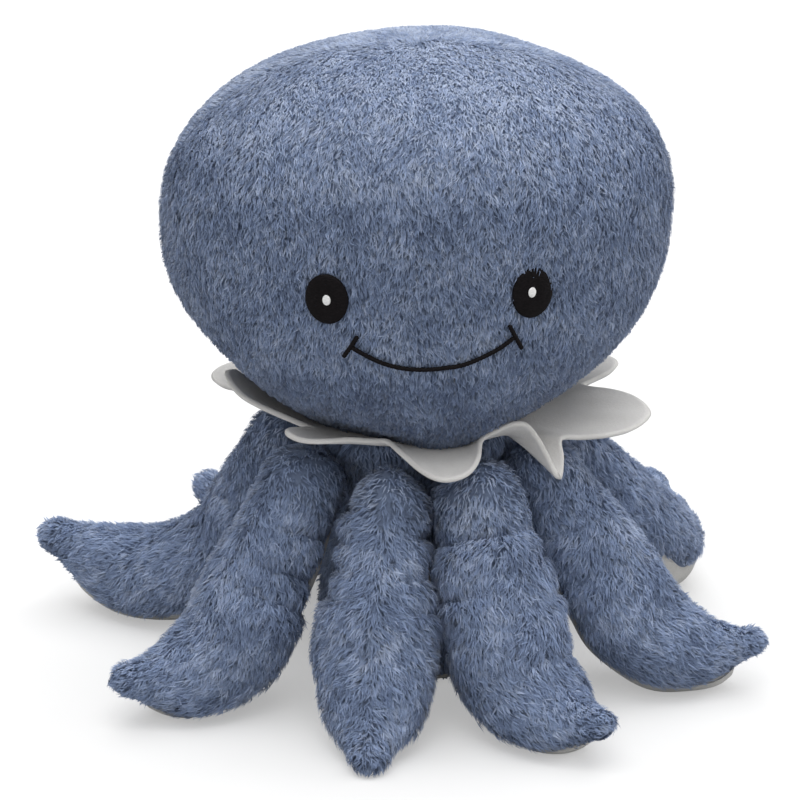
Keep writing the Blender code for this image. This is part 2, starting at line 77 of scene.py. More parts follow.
def hump(distance: Array, width: float) -> Array:
    """A bell of height 1: e to the minus square of the distance over the width."""
    return np.exp(-((distance / width) ** 2))


def arch(share: Array, power: int = 2) -> Array:
    """The root of one less the share to a power: a round end in section."""
    return np.sqrt(np.clip(1.0 - share**power, 0.0, 1.0))


def lattice(down: Array, over: Array) -> tuple[Array, Array]:
    """Two grids of numbers: one changes down the rows, the other over the columns."""
    return np.meshgrid(down, over, indexing="ij")


def spline(values: Array, stations: Array) -> Array:
    """Values on a smooth curve through evenly spaced ones.

    The formula is the usual cubic through four neighbours whose slope at each value is half the
    difference of the values on either side of it.

    Args:
        values: One value or vector for each whole station.
        stations: Where to read the curve, from 0 to the last whole station.

    Returns:
        One value or vector for each station.
    """
    values = np.asarray(values, float)
    last = len(values) - 1
    index = np.clip(np.floor(stations).astype(int), 0, last - 1)
    share = np.asarray(stations) - index
    if values.ndim > 1:
        share = share[..., None]
    before, start = values[np.maximum(index - 1, 0)], values[index]
    end, after = values[index + 1], values[np.minimum(index + 2, last)]
    bend = 2.0 * before - 5.0 * start + 4.0 * end - after
    swing = 3.0 * (start - end) + after - before
    return 0.5 * (2.0 * start + (end - before) * share + bend * share**2 + swing * share**3)


def ripple(points: Array, wave: float, seed: int) -> Array:
    """Smooth noise between about -1 and 1: the scaled sum of eight sine waves that cross at random.

    Args:
        points: Where to read it.
        wave: The mean wavelength, in metres.
        seed: Which set of waves to use.

    Returns:
        One number for each point.
    """
    draw = np.random.default_rng(seed)
    ways = unit(draw.normal(size=(8, 3))) * draw.uniform(0.7, 1.4, (8, 1)) * math.tau / wave
    return np.sin(points @ ways.T + draw.uniform(0.0, math.tau, 8)).sum(axis=-1) / 3.0


def lot(cells: Array, seed: int) -> Array:
    """A number from 0 to 1 for each cell of whole numbers, the same each time for the same cell.

    Args:
        cells: Whole numbers, three for each cell.
        seed: Which set of numbers to use.

    Returns:
        One number for each cell.
    """
    keys = cells[..., 0] * 73856093 ^ cells[..., 1] * 19349663 ^ cells[..., 2] * 83492791 ^ seed * 265443
    keys = ((keys ^ (keys >> 13)) & 0x7FFFFFFF) * 1274126177
    return ((keys ^ (keys >> 15)) & 0xFFFFF) / float(0x100000)


def turned(points: Array, degrees: float) -> Array:
    """Points turned about the Z axis, by the usual sine and cosine sums of x and y.

    Args:
        points: The points, along the last axis.
        degrees: How far to turn them, from -Y towards +X.

    Returns:
        The turned points.
    """
    angle = math.radians(degrees)
    x, y, z = points[..., 0], points[..., 1], points[..., 2]
    return np.stack(
        (x * math.cos(angle) - y * math.sin(angle), x * math.sin(angle) + y * math.cos(angle), z), axis=-1
    )


# Meshes

def grid_faces(rows: int, columns: int, closed: bool) -> Array:
    """Quads between the neighbouring points of a grid, facing along cross around.

    Args:
        rows: How many points there are along the grid.
        columns: How many points there are around it.
        closed: Whether the last column joins the first.

    Returns:
        Four point numbers for each quad.
    """
    row, column = lattice(np.arange(rows - 1), np.arange(columns - (not closed)))
    here = (row * columns + column).ravel()
    beside = (row * columns + (column + 1) % columns).ravel()
    return np.stack((here, here + columns, beside + columns, beside), axis=-1)


def grid_rim(rows: int, columns: int) -> Array:
    """The points round the edge of a grid, in order.

    Args:
        rows: How many points there are along the grid.
        columns: How many points there are around it.

    Returns:
        The point numbers, each once.
    """
    number = np.arange(rows * columns).reshape(rows, columns)
    return np.concatenate((number[0, ::-1], number[1:, 0], number[-1, 1:], number[-2:0:-1, -1]))


def flat_places(up: tuple[float, float, int], across: tuple[float, float, int]) -> Array:
    """Places on the flat pattern, even steps each way.

    Args:
        up: Where the first and the last row lie, from 0 to 1, and how many rows there are.
        across: The same for the columns.

    Returns:
        A place across and up for each point of the grid.
    """
    row, column = lattice(np.linspace(*up), np.linspace(*across))
    return np.stack((column, row), axis=-1).reshape(-1, 2)


def fan_faces(pole: int, ring: Array, outwards: bool) -> Array:
    """Triangles from a pole to the neighbouring points of a closed ring.

    Args:
        pole: The pole's point number.
        ring: The ring's point numbers, in order.
        outwards: True where the ring comes after the pole along the grid.

    Returns:
        Three point numbers for each triangle.
    """
    following = np.roll(ring, -1)
    middle, last = (ring, following) if outwards else (following, ring)
    return np.stack((np.full(len(ring), pole), middle, last), axis=-1)


@dataclass
class Draft:
    """Points, faces and attributes of one piece as they gather, before they become its mesh."""

    name: str
    points: list[Array] = field(default_factory=list)
    faces: list[Array] = field(default_factory=list)
    tints: list[Array] = field(default_factory=list)
    tips: list[Array] = field(default_factory=list)
    places: list[Array] = field(default_factory=list)
    leans: list[Array] = field(default_factory=list)
    count: int = 0

    def add(
        self,
        points: Array,
        faces: list[Array],
        tint: Array | float,
        tip: Array | float,
        places: Array,
        normals: Array | None = None,
    ) -> None:
        """Adds points with the faces between them.

        Args:
            points: The new points.
            faces: Groups of faces with as many corners each, numbered from the first new point.
            tint: How light the fabric is, from 0 to 1, for all or each.
            tip: How near the end of a fibre it is, from 0 to 1, for all or each.
            places: The points' places on the flat pattern, from 0 to 1 each way.
            normals: The ways that the points face, where the faces' own don't do.
        """
        points = points.reshape(-1, 3)
        self.points.append(points)
        self.faces.extend(group + self.count for group in faces)
        self.tints.append(np.broadcast_to(np.ravel(tint), len(points)))
        self.tips.append(np.broadcast_to(np.ravel(tip), len(points)))
        self.places.append(places.reshape(-1, 2))
        self.leans.append(np.zeros((len(points), 3)) if normals is None else normals.reshape(-1, 3))
        self.count += len(points)

    def build(self, finish: bpy.types.Material) -> bpy.types.Object:
        """Puts everything into one mesh object that wears the finish.

        Args:
            finish: The material of the whole piece.

        Returns:
            The object, at the origin.
        """
        mesh = bpy.data.meshes.new(self.name)
        corners = np.concatenate([group.ravel() for group in self.faces]).astype(np.int32)
        sizes = np.concatenate([np.full(len(group), group.shape[1]) for group in self.faces])
        mesh.vertices.add(self.count)
        mesh.vertices.foreach_set("co", np.concatenate(self.points).astype(np.float32).ravel())
        mesh.loops.add(len(corners))
        mesh.loops.foreach_set("vertex_index", corners)
        mesh.polygons.add(len(sizes))
        mesh.polygons.foreach_set("loop_start", (np.cumsum(sizes) - sizes).astype(np.int32))
        mesh.update(calc_edges=True)
        for name, values in (("tint", self.tints), ("tip", self.tips)):
            layer = mesh.attributes.new(name, "FLOAT", "POINT")
            layer.data.foreach_set("value", np.concatenate(values).astype(np.float32))
        flat = mesh.uv_layers.new(name="OFBake")
        flat.data.foreach_set("uv", np.concatenate(self.places)[corners].astype(np.float32).ravel())
        mesh.validate()
        mesh.polygons.foreach_set("use_smooth", np.ones(len(mesh.polygons), bool))
        mesh.materials.append(finish)
        given = np.concatenate(self.leans)
        if given.any():
            own = np.empty(self.count * 3, np.float32)
            mesh.vertex_normals.foreach_get("vector", own)
            faced = np.where(given.any(axis=1, keepdims=True), unit(given), own.reshape(-1, 3))
            mesh.normals_split_custom_set_from_vertices(faced)
        piece = bpy.data.objects.new(self.name, mesh)
        bpy.context.scene.collection.objects.link(piece)
        return piece


@dataclass(frozen=True)
class Pile:
    """How the fibres of a pile fabric stand and lie."""

    length: float
    rise: float
    width: float
    per_square_mm: float
    tuft: float
    gather: float
    stray: float
    sway: float
    sway_wave: float
    contrast: float = 0.34
    fleck: float = 0.24
    lift_share: float = 0.92
    facing: float = 0.45


@dataclass
class Skin:
    """A surface on a grid, with what its pile needs at each of the grid's points.

    The rows run along the surface and the columns around it, so that along cross around points outwards.
    """

    points: Array
    closed: bool
    flow: Array | None = None
    cover: Array | None = None
    length: Array | None = None
    # Painted light and shade: how far each fibre's tint is raised or lowered at each point.
    shade: Array | None = None
    lift: Array | None = None

    def steps(self) -> tuple[Array, Array]:
        """Differences between neighbouring points.

        Returns:
            The steps along the grid and the steps around it.
        """
        if self.closed:
            around = np.roll(self.points, -1, axis=1) - np.roll(self.points, 1, axis=1)
        else:
            around = np.gradient(self.points, axis=1)
        return np.gradient(self.points, axis=0), around

    def normals(self) -> Array:
        """Outward unit normals: the cross product of the steps along and around."""
        along, around = self.steps()
        return unit(np.cross(along, around))

    def moved(self, distance: Array | float) -> "Skin":
        """The bare surface moved outwards along its normals."""
        return Skin(self.points + self.normals() * np.asarray(distance)[..., None], self.closed)

    def corners(self, values: Array) -> tuple[Array, Array, Array, Array]:
        """A field's values at the four corners of each cell of the grid.

        Args:
            values: A number or a vector for each point.

        Returns:
            The corners in the order of the cell's face, one row to each cell.
        """
        beside = np.roll(values, -1, axis=1) if self.closed else values[:, 1:]
        here = values if self.closed else values[:, :-1]
        size = (-1, values.shape[2]) if values.ndim > 2 else (-1,)
        return tuple(part.reshape(size) for part in (here[:-1], here[1:], beside[1:], beside[:-1]))

    def backing(self, draft: Draft, start_pole: bool, end_pole: bool, shade: float = 0.4) -> None:
        """Adds the surface itself to a draft, closed by fans at the ends that have a pole.

        Args:
            draft: Where the points and faces go.
            start_pole: Whether the first row is closed by a fan to its middle.
            end_pole: Whether the last row is.
            shade: How light the fabric between the fibres is.
        """
        rows, columns = self.points.shape[:2]
        points, faces = [self.points.reshape(-1, 3)], [grid_faces(rows, columns, self.closed)]
        places, count = [flat_places((0.91, 0.99, rows), (0.0, 1.0, columns))], rows * columns
        first = np.arange(columns)
        last = first + (rows - 1) * columns
        for wanted, ring, outwards in ((start_pole, first, True), (end_pole, last, False)):
            if wanted:
                points.append(points[0][ring].mean(axis=0)[None])
                places.append(places[0][ring].mean(axis=0)[None])
                faces.append(fan_faces(count, ring, outwards))
                count += 1
        # With a tip of 0.3 the backing also gets part of the pile's painted root shade.
        draft.add(np.concatenate(points), faces, shade, 0.3, np.concatenate(places))

    def grow(self, draft: Draft, pile: Pile, seed: int, floor: float | None = None) -> int:
        """Grows the pile's fibres on the surface.

        Fibres start at random places, as many on each cell as its area times the cover asks for. Each is a
        tapered blade of two stretches that leaves the surface steeply, bends over into the flow and ends at
        the pile's rise. Its way is the flow turned by smooth sway and by its own stray. Its end is drawn
        towards the middle of its tuft, which is a cell of a crooked lattice in space. It faces as the surface
        does, tilted a little with its tuft and on its own, as fine hair does that is lit from all round.

        Args:
            draft: Where the fibres go.
            pile: How the fibres stand and lie.
            seed: Which random numbers to use.
            floor: The lowest height a fibre may reach.

        Returns:
            How many fibres there are.
        """
        draw = np.random.default_rng(seed)
        fields = [self.corners(values) for values in (self.points, self.normals(), self.flow, self.length)]
        shade = self.corners(self.shade if self.shade is not None else np.zeros(self.length.shape))
        lift = self.corners(self.lift if self.lift is not None else np.ones(self.length.shape))
        corner = fields[0]
        area = np.linalg.norm(np.cross(corner[2] - corner[0], corner[3] - corner[1]), axis=-1) / 2.0
        wanted = np.cumsum(area * np.mean(self.corners(self.cover), axis=0)) * pile.per_square_mm * 1e6
        count = int(wanted[-1])
        cell = np.minimum(np.searchsorted(wanted, draw.random(count) * wanted[-1]), len(area) - 1)
        down, over = draw.random((2, count))
        weights = ((1.0 - down) * (1.0 - over), down * (1.0 - over), down * over, (1.0 - down) * over)

        def read(field_corners: tuple[Array, ...]) -> Array:
            """The field at each fibre's root: the mean of its cell's corners, weighted by nearness."""
            spread = field_corners[0].ndim > 1
            return sum(
                part[cell] * (weight[:, None] if spread else weight)
                for part, weight in zip(field_corners, weights)
            )

        root, normal, flow, length = (read(part) for part in fields)
        normal = unit(normal)
        flow = unit(flow - normal * dot(flow, normal))
        side = np.cross(flow, normal)
        angle = pile.sway * ripple(root, pile.sway_wave, seed + 1) + pile.stray * draw.normal(size=count)
        way = flow * np.cos(angle)[:, None] + side * np.sin(angle)[:, None]
        side = np.cross(way, normal)

        crook = np.stack([ripple(root, 6.0 * pile.tuft, seed + k) for k in (2, 3, 4)], axis=-1)
        tuft = np.floor((root + 0.35 * pile.tuft * crook) / pile.tuft).astype(np.int64)
        middle = (tuft + np.stack([lot(tuft, k) for k in (5, 6, 7)], axis=-1)) * pile.tuft
        lean = middle - root
        lean -= normal * dot(lean, normal)
        reach = pile.length * length * draw.uniform(0.72, 1.18, count)
        rise = pile.rise * length * draw.uniform(0.6, 1.3, count) * mix(0.75, 1.25, lot(tuft, 8)) * read(lift)
        curl = side * (reach * draw.normal(0.0, 0.10, count))[:, None]
        knee = root + way * (0.40 * reach)[:, None] + normal * (pile.lift_share * rise)[:, None]
        knee += 0.45 * pile.gather * lean + curl
        end = root + way * reach[:, None] + normal * rise[:, None] + pile.gather * lean - curl
        half = side * (0.5 * pile.width * draw.uniform(0.7, 1.3, count))[:, None]
        sunk = root - normal * 0.0004
        fibres = np.stack((sunk - half, sunk + half, knee - 0.85 * half, knee + 0.85 * half, end), axis=1)
        if floor is not None:
            fibres[..., 2] = np.maximum(fibres[..., 2], floor)

        tint = 0.5 + pile.contrast * (lot(tuft, 9) - 0.5) + pile.fleck * (draw.random(count) - 0.5)
        # Slow random tone, then the skin's painted light and shade.
        tint += 0.10 * ripple(root, 0.022, seed + 5) + read(shade)
        tints = np.repeat(np.clip(tint, 0.0, 1.0)[:, None], 5, axis=1)
        # How far each point lies from the root, which sets how much painted root shade it gets.
        tips = np.broadcast_to(np.array((0.0, 0.0, 0.6, 0.6, 1.0)), (count, 5))
        across = math.ceil(math.sqrt(count))
        number = np.arange(count)
        cells = np.stack((number % across, number // across), axis=-1)[:, None]
        outline = np.array(((0.2, 0.15), (0.8, 0.15), (0.75, 0.5), (0.25, 0.5), (0.5, 0.85)))[[0, 1, 3, 2, 4]]
        places = (cells + outline) / across * np.array((1.0, 0.9))
        first = number[:, None] * 5
        faces = [first + np.array((0, 1, 3, 2)), first + np.array((2, 3, 4))]
        tilt = np.stack([lot(tuft, k) for k in (10, 11, 12)], axis=-1) - 0.5
        facing = unit(normal + pile.facing * (tilt + 0.5 * draw.normal(size=(count, 3))) + 0.2 * way)
        draft.add(fibres, faces, tints, tips, places, np.repeat(facing[:, None], 5, axis=1))
        return count


def shell(draft: Draft, skin: Skin, thickness: float) -> None:
    """Adds an open surface as a closed panel: the surface, a copy below it and a rim between the two.

    Args:
        draft: Where the points and faces go.
        skin: The panel's outer surface.
        thickness: How far below it the copy lies, along the normals.
    """
    rows, columns = skin.points.shape[:2]
    under = skin.points - skin.normals() * thickness
    count = rows * columns
    faces = grid_faces(rows, columns, False)
    rim = grid_rim(rows, columns)
    following = np.roll(rim, -1)
    sides = np.stack((rim, rim + count, following + count, following), axis=-1)[:, ::-1]
    places = flat_places((0.02, 0.98, rows), (0.02, 0.48, columns))
    draft.add(
        np.concatenate((skin.points, under)),
        [faces, faces[:, ::-1] + count, sides],
        0.5,
        1.0,
        np.concatenate((places, places + np.array((0.5, 0.0)))),
    )


# Finishes

class Nodes:
    """A short way to write a material's node tree."""

    def __init__(self, name: str) -> None:
        """Starts a material with one Principled shader.

        Args:
            name: The material's name.
        """
        self.material = bpy.data.materials.new(name)
        self.material.use_nodes = True
        self.tree = self.material.node_tree
        self.shader = self.tree.nodes["Principled BSDF"]
        self.output = self.tree.nodes["Material Output"]

    def node(self, kind: str, **settings: object) -> bpy.types.Node:
        """A new node.

        Args:
            kind: The node's type.
            settings: Its properties, by name.

        Returns:
            The node.
        """
        made = self.tree.nodes.new(kind)
        for name, value in settings.items():
            setattr(made, name, value)
        return made

    def link(self, start: bpy.types.NodeSocket, end: bpy.types.NodeSocket) -> None:
        """Joins an output to an input."""
        self.tree.links.new(start, end)

    def attribute(self, name: str) -> bpy.types.NodeSocket:
        """The number that a mesh attribute holds."""
        return self.node("ShaderNodeAttribute", attribute_name=name).outputs["Fac"]

    def noise(self, scale: float, detail: float, roughness: float = 0.5) -> bpy.types.NodeSocket:
        """Noise on Object coordinates, from about 0.3 to 0.7.

        Args:
            scale: How many patches there are to a metre.
            detail: How many finer layers are laid over them.
            roughness: How much the finer layers count.

        Returns:
            The noise.
        """
        place = self.node("ShaderNodeTexCoord")
        made = self.node("ShaderNodeTexNoise")
        made.inputs["Scale"].default_value = scale
        made.inputs["Detail"].default_value = detail
        made.inputs["Roughness"].default_value = roughness
        self.link(place.outputs["Object"], made.inputs["Vector"])
        return made.outputs["Fac"]

    def maths(self, operation: str, *values: bpy.types.NodeSocket | float) -> bpy.types.NodeSocket:
        """A sum of sockets and numbers.

        Args:
            operation: The Math node's operation.
            values: What it works on, in the order of its inputs.

        Returns:
            The result.
        """
        made = self.node("ShaderNodeMath", operation=operation)
        for socket, value in zip(made.inputs, values):
            if isinstance(value, bpy.types.NodeSocket):
                self.link(value, socket)
            else:
                socket.default_value = value
        return made.outputs[0]

    def ramp(
        self, value: bpy.types.NodeSocket, stops: tuple[tuple[float, Colour], ...]
    ) -> bpy.types.NodeSocket:
        """A colour ramp.

        Args:
            value: Where to read the ramp.
            stops: Pairs of a place from 0 to 1 and the colour there.

        Returns:
            The colour.
        """
        made = self.node("ShaderNodeValToRGB")
        ramp = made.color_ramp
        while len(ramp.elements) < len(stops):
            ramp.elements.new(0.5)
        for element, (place, colour) in zip(ramp.elements, stops):
            element.position = place
            element.color = (*colour, 1.0)
        self.link(value, made.inputs["Fac"])
        return made.outputs["Color"]

    def multiply(self, first: bpy.types.NodeSocket, second: bpy.types.NodeSocket) -> bpy.types.NodeSocket:
        """The product of two colours.

        Args:
            first: One colour.
            second: The other.

        Returns:
            The product.
        """
        made = self.node("ShaderNodeMix", data_type="RGBA", blend_type="MULTIPLY")
        made.inputs["Factor"].default_value = 1.0
        self.link(first, made.inputs[6])
        self.link(second, made.inputs[7])
        return made.outputs[2]

    def bump(self, height: bpy.types.NodeSocket, strength: float, distance: float) -> None:
        """Turns a height into relief on the shader's normal.

        Args:
            height: The height, from 0 to 1.
            strength: How much of the relief shows.
            distance: How high a height of 1 stands, in metres.
        """
        made = self.node("ShaderNodeBump")
        made.inputs["Strength"].default_value = strength
        made.inputs["Distance"].default_value = distance
        self.link(height, made.inputs["Height"])
        self.link(made.outputs["Normal"], self.shader.inputs["Normal"])

    def see_through(self, colour: bpy.types.NodeSocket, share: float) -> None:
        """Lets a share of the light through, as fine fibres do.

        Args:
            colour: The colour of the light that comes through.
            share: How much of the light it is, from 0 to 1.
        """
        through = self.node("ShaderNodeBsdfTranslucent")
        both = self.node("ShaderNodeMixShader")
        both.inputs["Fac"].default_value = share
        self.link(colour, through.inputs["Color"])
        self.link(self.shader.outputs["BSDF"], both.inputs[1])
        self.link(through.outputs["BSDF"], both.inputs[2])
        self.link(both.outputs["Shader"], self.output.inputs["Surface"])

    def constants(
        self,
        specular: float,
        roughness: float | None = None,
        sheen: float = 0.0,
        sheen_roughness: float = 0.5,
    ) -> None:
        """Sets what is the same all over, on the shader's own sockets.

        Args:
            specular: How strongly the surface mirrors.
            roughness: How dull it is, where nothing is linked to that socket.
            sheen: How strong the soft light at grazing angles is.
            sheen_roughness: How wide that light spreads.
        """
        if roughness is not None:
            self.shader.inputs["Roughness"].default_value = roughness
        self.shader.inputs["Specular IOR Level"].default_value = specular
        self.shader.inputs["Sheen Weight"].default_value = sheen
        self.shader.inputs["Sheen Roughness"].default_value = sheen_roughness


@dataclass(frozen=True)
class PlushFinish:
    """Heathered pile: dark, middle and light fibres, each darkened towards its root by painted shade."""

    dark: Colour = (0.150, 0.200, 0.325)
    middle: Colour = (0.350, 0.440, 0.635)
    light: Colour = (0.620, 0.700, 0.860)
    # Painted shade: how light a fibre is at its root, against its tip.
    root: float = 0.55
    through: float = 0.40
    speck_scale: float = 900.0
    speck: float = 0.30

    def material(self) -> bpy.types.Material:
        """The pile's material: a ramp over each fibre's tint and fine specks, with painted shade away from
        the tip.

        Returns:
            The material, which also lets light through.
        """
        nodes = Nodes("blue_plush_pile")
        speck = nodes.maths("MULTIPLY_ADD", nodes.noise(self.speck_scale, 2.0), self.speck, -0.5 * self.speck)
        tint = nodes.maths("ADD", nodes.attribute("tint"), speck)
        fibre = nodes.ramp(tint, ((0.0, self.dark), (0.5, self.middle), (1.0, self.light)))
        root = (self.root, self.root, self.root)
        # Painted shade: each fibre darker towards its root, deep in the pile.
        depth = nodes.ramp(nodes.attribute("tip"), ((0.0, root), (0.75, (1.0, 1.0, 1.0))))
        colour = nodes.multiply(fibre, depth)
        nodes.link(colour, nodes.shader.inputs["Base Color"])
        nodes.constants(specular=0.10, roughness=0.85, sheen=0.35, sheen_roughness=0.35)
        nodes.shader.inputs["Sheen Tint"].default_value = (0.84, 0.89, 1.0, 1.0)
        nodes.see_through(colour, self.through)
        return nodes.material


@dataclass(frozen=True)
class NapFinish:
    """A short-napped or pressed fabric: slow mottling, fine fibre relief and a soft sheen."""

    name: str
    dark: Colour
    light: Colour
    mottle_scale: float
    fibre_scale: float
    relief: float
    sheen: float

    def material(self) -> bpy.types.Material:
        """The fabric's material: a ramp over six tenths of slow mottling and four tenths of fine fibre.

        Returns:
            The material, whose fibre also roughens it and stands out a little.
        """
        nodes = Nodes(self.name)
        mottle = nodes.noise(self.mottle_scale, 4.0, 0.6)
        fibre = nodes.noise(self.fibre_scale, 6.0, 0.7)
        value = nodes.maths("ADD", nodes.maths("MULTIPLY", mottle, 0.6), nodes.maths("MULTIPLY", fibre, 0.4))
        colour = nodes.ramp(value, ((0.32, self.dark), (0.68, self.light)))
        nodes.link(colour, nodes.shader.inputs["Base Color"])
        nodes.link(nodes.maths("MULTIPLY_ADD", fibre, 0.16, 0.78), nodes.shader.inputs["Roughness"])
        nodes.bump(fibre, self.relief, 0.0006)
        nodes.constants(specular=0.10, sheen=self.sheen)
        return nodes.material


@dataclass(frozen=True)
class ThreadFinish:
    """Embroidery thread: fine fibres along the stitches and a soft gloss."""

    name: str
    dark: Colour
    light: Colour
    roughness: float
    specular: float

    def material(self) -> bpy.types.Material:
        """The thread's material, whose fibres are noise drawn out along the stitches.

        Returns:
            The material.
        """
        nodes = Nodes(self.name)
        place = nodes.node("ShaderNodeTexCoord")
        drawn = nodes.node("ShaderNodeMapping")
        drawn.inputs["Scale"].default_value = (900.0, 900.0, 5200.0)
        fibre = nodes.node("ShaderNodeTexNoise")
        fibre.inputs["Scale"].default_value = 1.0
        fibre.inputs["Detail"].default_value = 3.0
        nodes.link(place.outputs["Object"], drawn.inputs["Vector"])
        nodes.link(drawn.outputs["Vector"], fibre.inputs["Vector"])
        value = fibre.outputs["Fac"]
        colour = nodes.ramp(value, ((0.35, self.dark), (0.7, self.light)))
        nodes.link(colour, nodes.shader.inputs["Base Color"])
        nodes.bump(value, 0.35, 0.0002)
        nodes.constants(specular=self.specular, roughness=self.roughness)
        return nodes.material


@dataclass(frozen=True)
class Finishes:
    """All finishes of the toy."""

    plush: bpy.types.Material
    suede: bpy.types.Material
    felt: bpy.types.Material
    black_thread: bpy.types.Material
    white_thread: bpy.types.Material

    @classmethod
    def make(cls) -> "Finishes":
        """Makes each finish once.

        Returns:
            The finished materials.
        """
        suede = NapFinish(
            "grey_suede_nap", (0.450, 0.442, 0.425), (0.590, 0.582, 0.562),
            mottle_scale=70.0, fibre_scale=1500.0, relief=0.5, sheen=0.2,
        )
        felt = NapFinish(
            "grey_pressed_felt", (0.570, 0.560, 0.545), (0.680, 0.668, 0.650),
            mottle_scale=45.0, fibre_scale=1100.0, relief=0.35, sheen=0.15,
        )
        black = ThreadFinish(
            "black_stitching", (0.003, 0.0025, 0.003), (0.010, 0.008, 0.009), roughness=0.60, specular=0.08
        )
        white = ThreadFinish(
            "white_stitching", (0.700, 0.700, 0.700), (0.880, 0.880, 0.880), roughness=0.50, specular=0.30
        )
        return cls(*(finish.material() for finish in (PlushFinish(), suede, felt, black, white)))


class Slot(Enum):
    """The toy's material slots."""

    PLUSH = "blue_plush"
    SUEDE = "grey_suede"
    FELT = "grey_felt"
    BLACK = "black_thread"
    WHITE = "white_thread"


def place(
    piece: bpy.types.Object, body: str, slot: Slot, nodes: tuple[str, ...], fill: float | None = None
) -> None:
    """Puts a finished piece on its body, in the place of its solids.

    Args:
        piece: The finished object.
        body: The body it rides on.
        slot: The material slot of its finish; not used.
        nodes: The solids that it stands for.
        fill: How tight it is stuffed, where it is a stuffed piece; not used.
    """
    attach(piece, body)
    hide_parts(*nodes)
    log.info("%s: %d faces, on %s", piece.name, len(piece.data.polygons), body)


# Head

@dataclass(frozen=True)
class HeadForm:
    """The head's outline, and where a place on the face lies in space."""

    neck_height: float = 0.092
    neck_radius: float = 0.040
    widest_height: float = 0.157
    half_width: float = 0.0835
    half_depth: float = 0.073
    crown_height: float = 0.2175
    cheek_power: float = 2.30
    crown_power: float = 2.24
    turn: float = 4.0

    def radius(self, height: Array) -> Array:
        """Half width at a height.

        Below the widest height it is the neck radius plus the rest times one less the drop to a power, and
        above it the half width times one less the rise to a power, to one over that power.

        Args:
            height: Heights above the floor.

        Returns:
            The half width at each.
        """
        drop = np.clip((self.widest_height - height) / (self.widest_height - self.neck_height), 0.0, 1.0)
        rise = np.clip((height - self.widest_height) / (self.crown_height - self.widest_height), 0.0, 1.0)
        cheek = self.neck_radius + (self.half_width - self.neck_radius) * (1.0 - drop**self.cheek_power)
        crown = self.half_width * (1.0 - rise**self.crown_power) ** (1.0 / self.crown_power)
        return np.where(height < self.widest_height, cheek, crown)

    def depth_share(self, height: Array) -> Array:
        """Depth over width: 1 at the neck, easing to the flatter share at the widest height."""
        rise = (height - self.neck_height) / (self.widest_height - self.neck_height)
        return mix(1.0, self.half_depth / self.half_width, ease(rise))

    def on_face(self, across: Array, height: Array, outwards: Array | float = 0.0) -> Array:
        """Points of the face, moved outwards along its normals.

        The depth is the half depth at that height times the root of one less the square of the share across.

        Args:
            across: Distances to the right of the face's middle.
            height: Heights above the floor.
            outwards: How far the points stand out of the surface.

        Returns:
            The points, with the head's own turn.
        """
        def surface(x: Array, z: Array) -> Array:
            """The surface itself, before the head's turn.

            Args:
                x: Distances to the right of the face's middle.
                z: Heights above the floor.

            Returns:
                The points.
            """
            radius = self.radius(z)
            share = np.clip(x / radius, -1.0, 1.0)
            return np.stack((x, -radius * self.depth_share(z) * np.sqrt(1.0 - share**2), z), axis=-1)

        step = 0.0002
        point = surface(across, height)
        right, up = surface(across + step, height) - point, surface(across, height + step) - point
        return turned(point + unit(np.cross(right, up)) * np.asarray(outwards)[..., None], self.turn)

    def to_face(self, points: Array) -> tuple[Array, Array, Array]:
        """Each point's distance across, depth and height in the face's own frame."""
        own = turned(points, -self.turn)
        return own[..., 0], own[..., 1], own[..., 2]


@dataclass(frozen=True)
class Fullness:
    """A place where the head stands fuller: by how much, at which azimuth and height, how far each way."""

    depth: float
    azimuth: float
    around: float
    height: float
    upwards: float

    def at(self, azimuth: Array, height: Array) -> Array:
        """The depth times a bell around the head and a bell up it."""
        around = hump(azimuth - self.azimuth, self.around)
        return self.depth * around * hump(height - self.height, self.upwards)


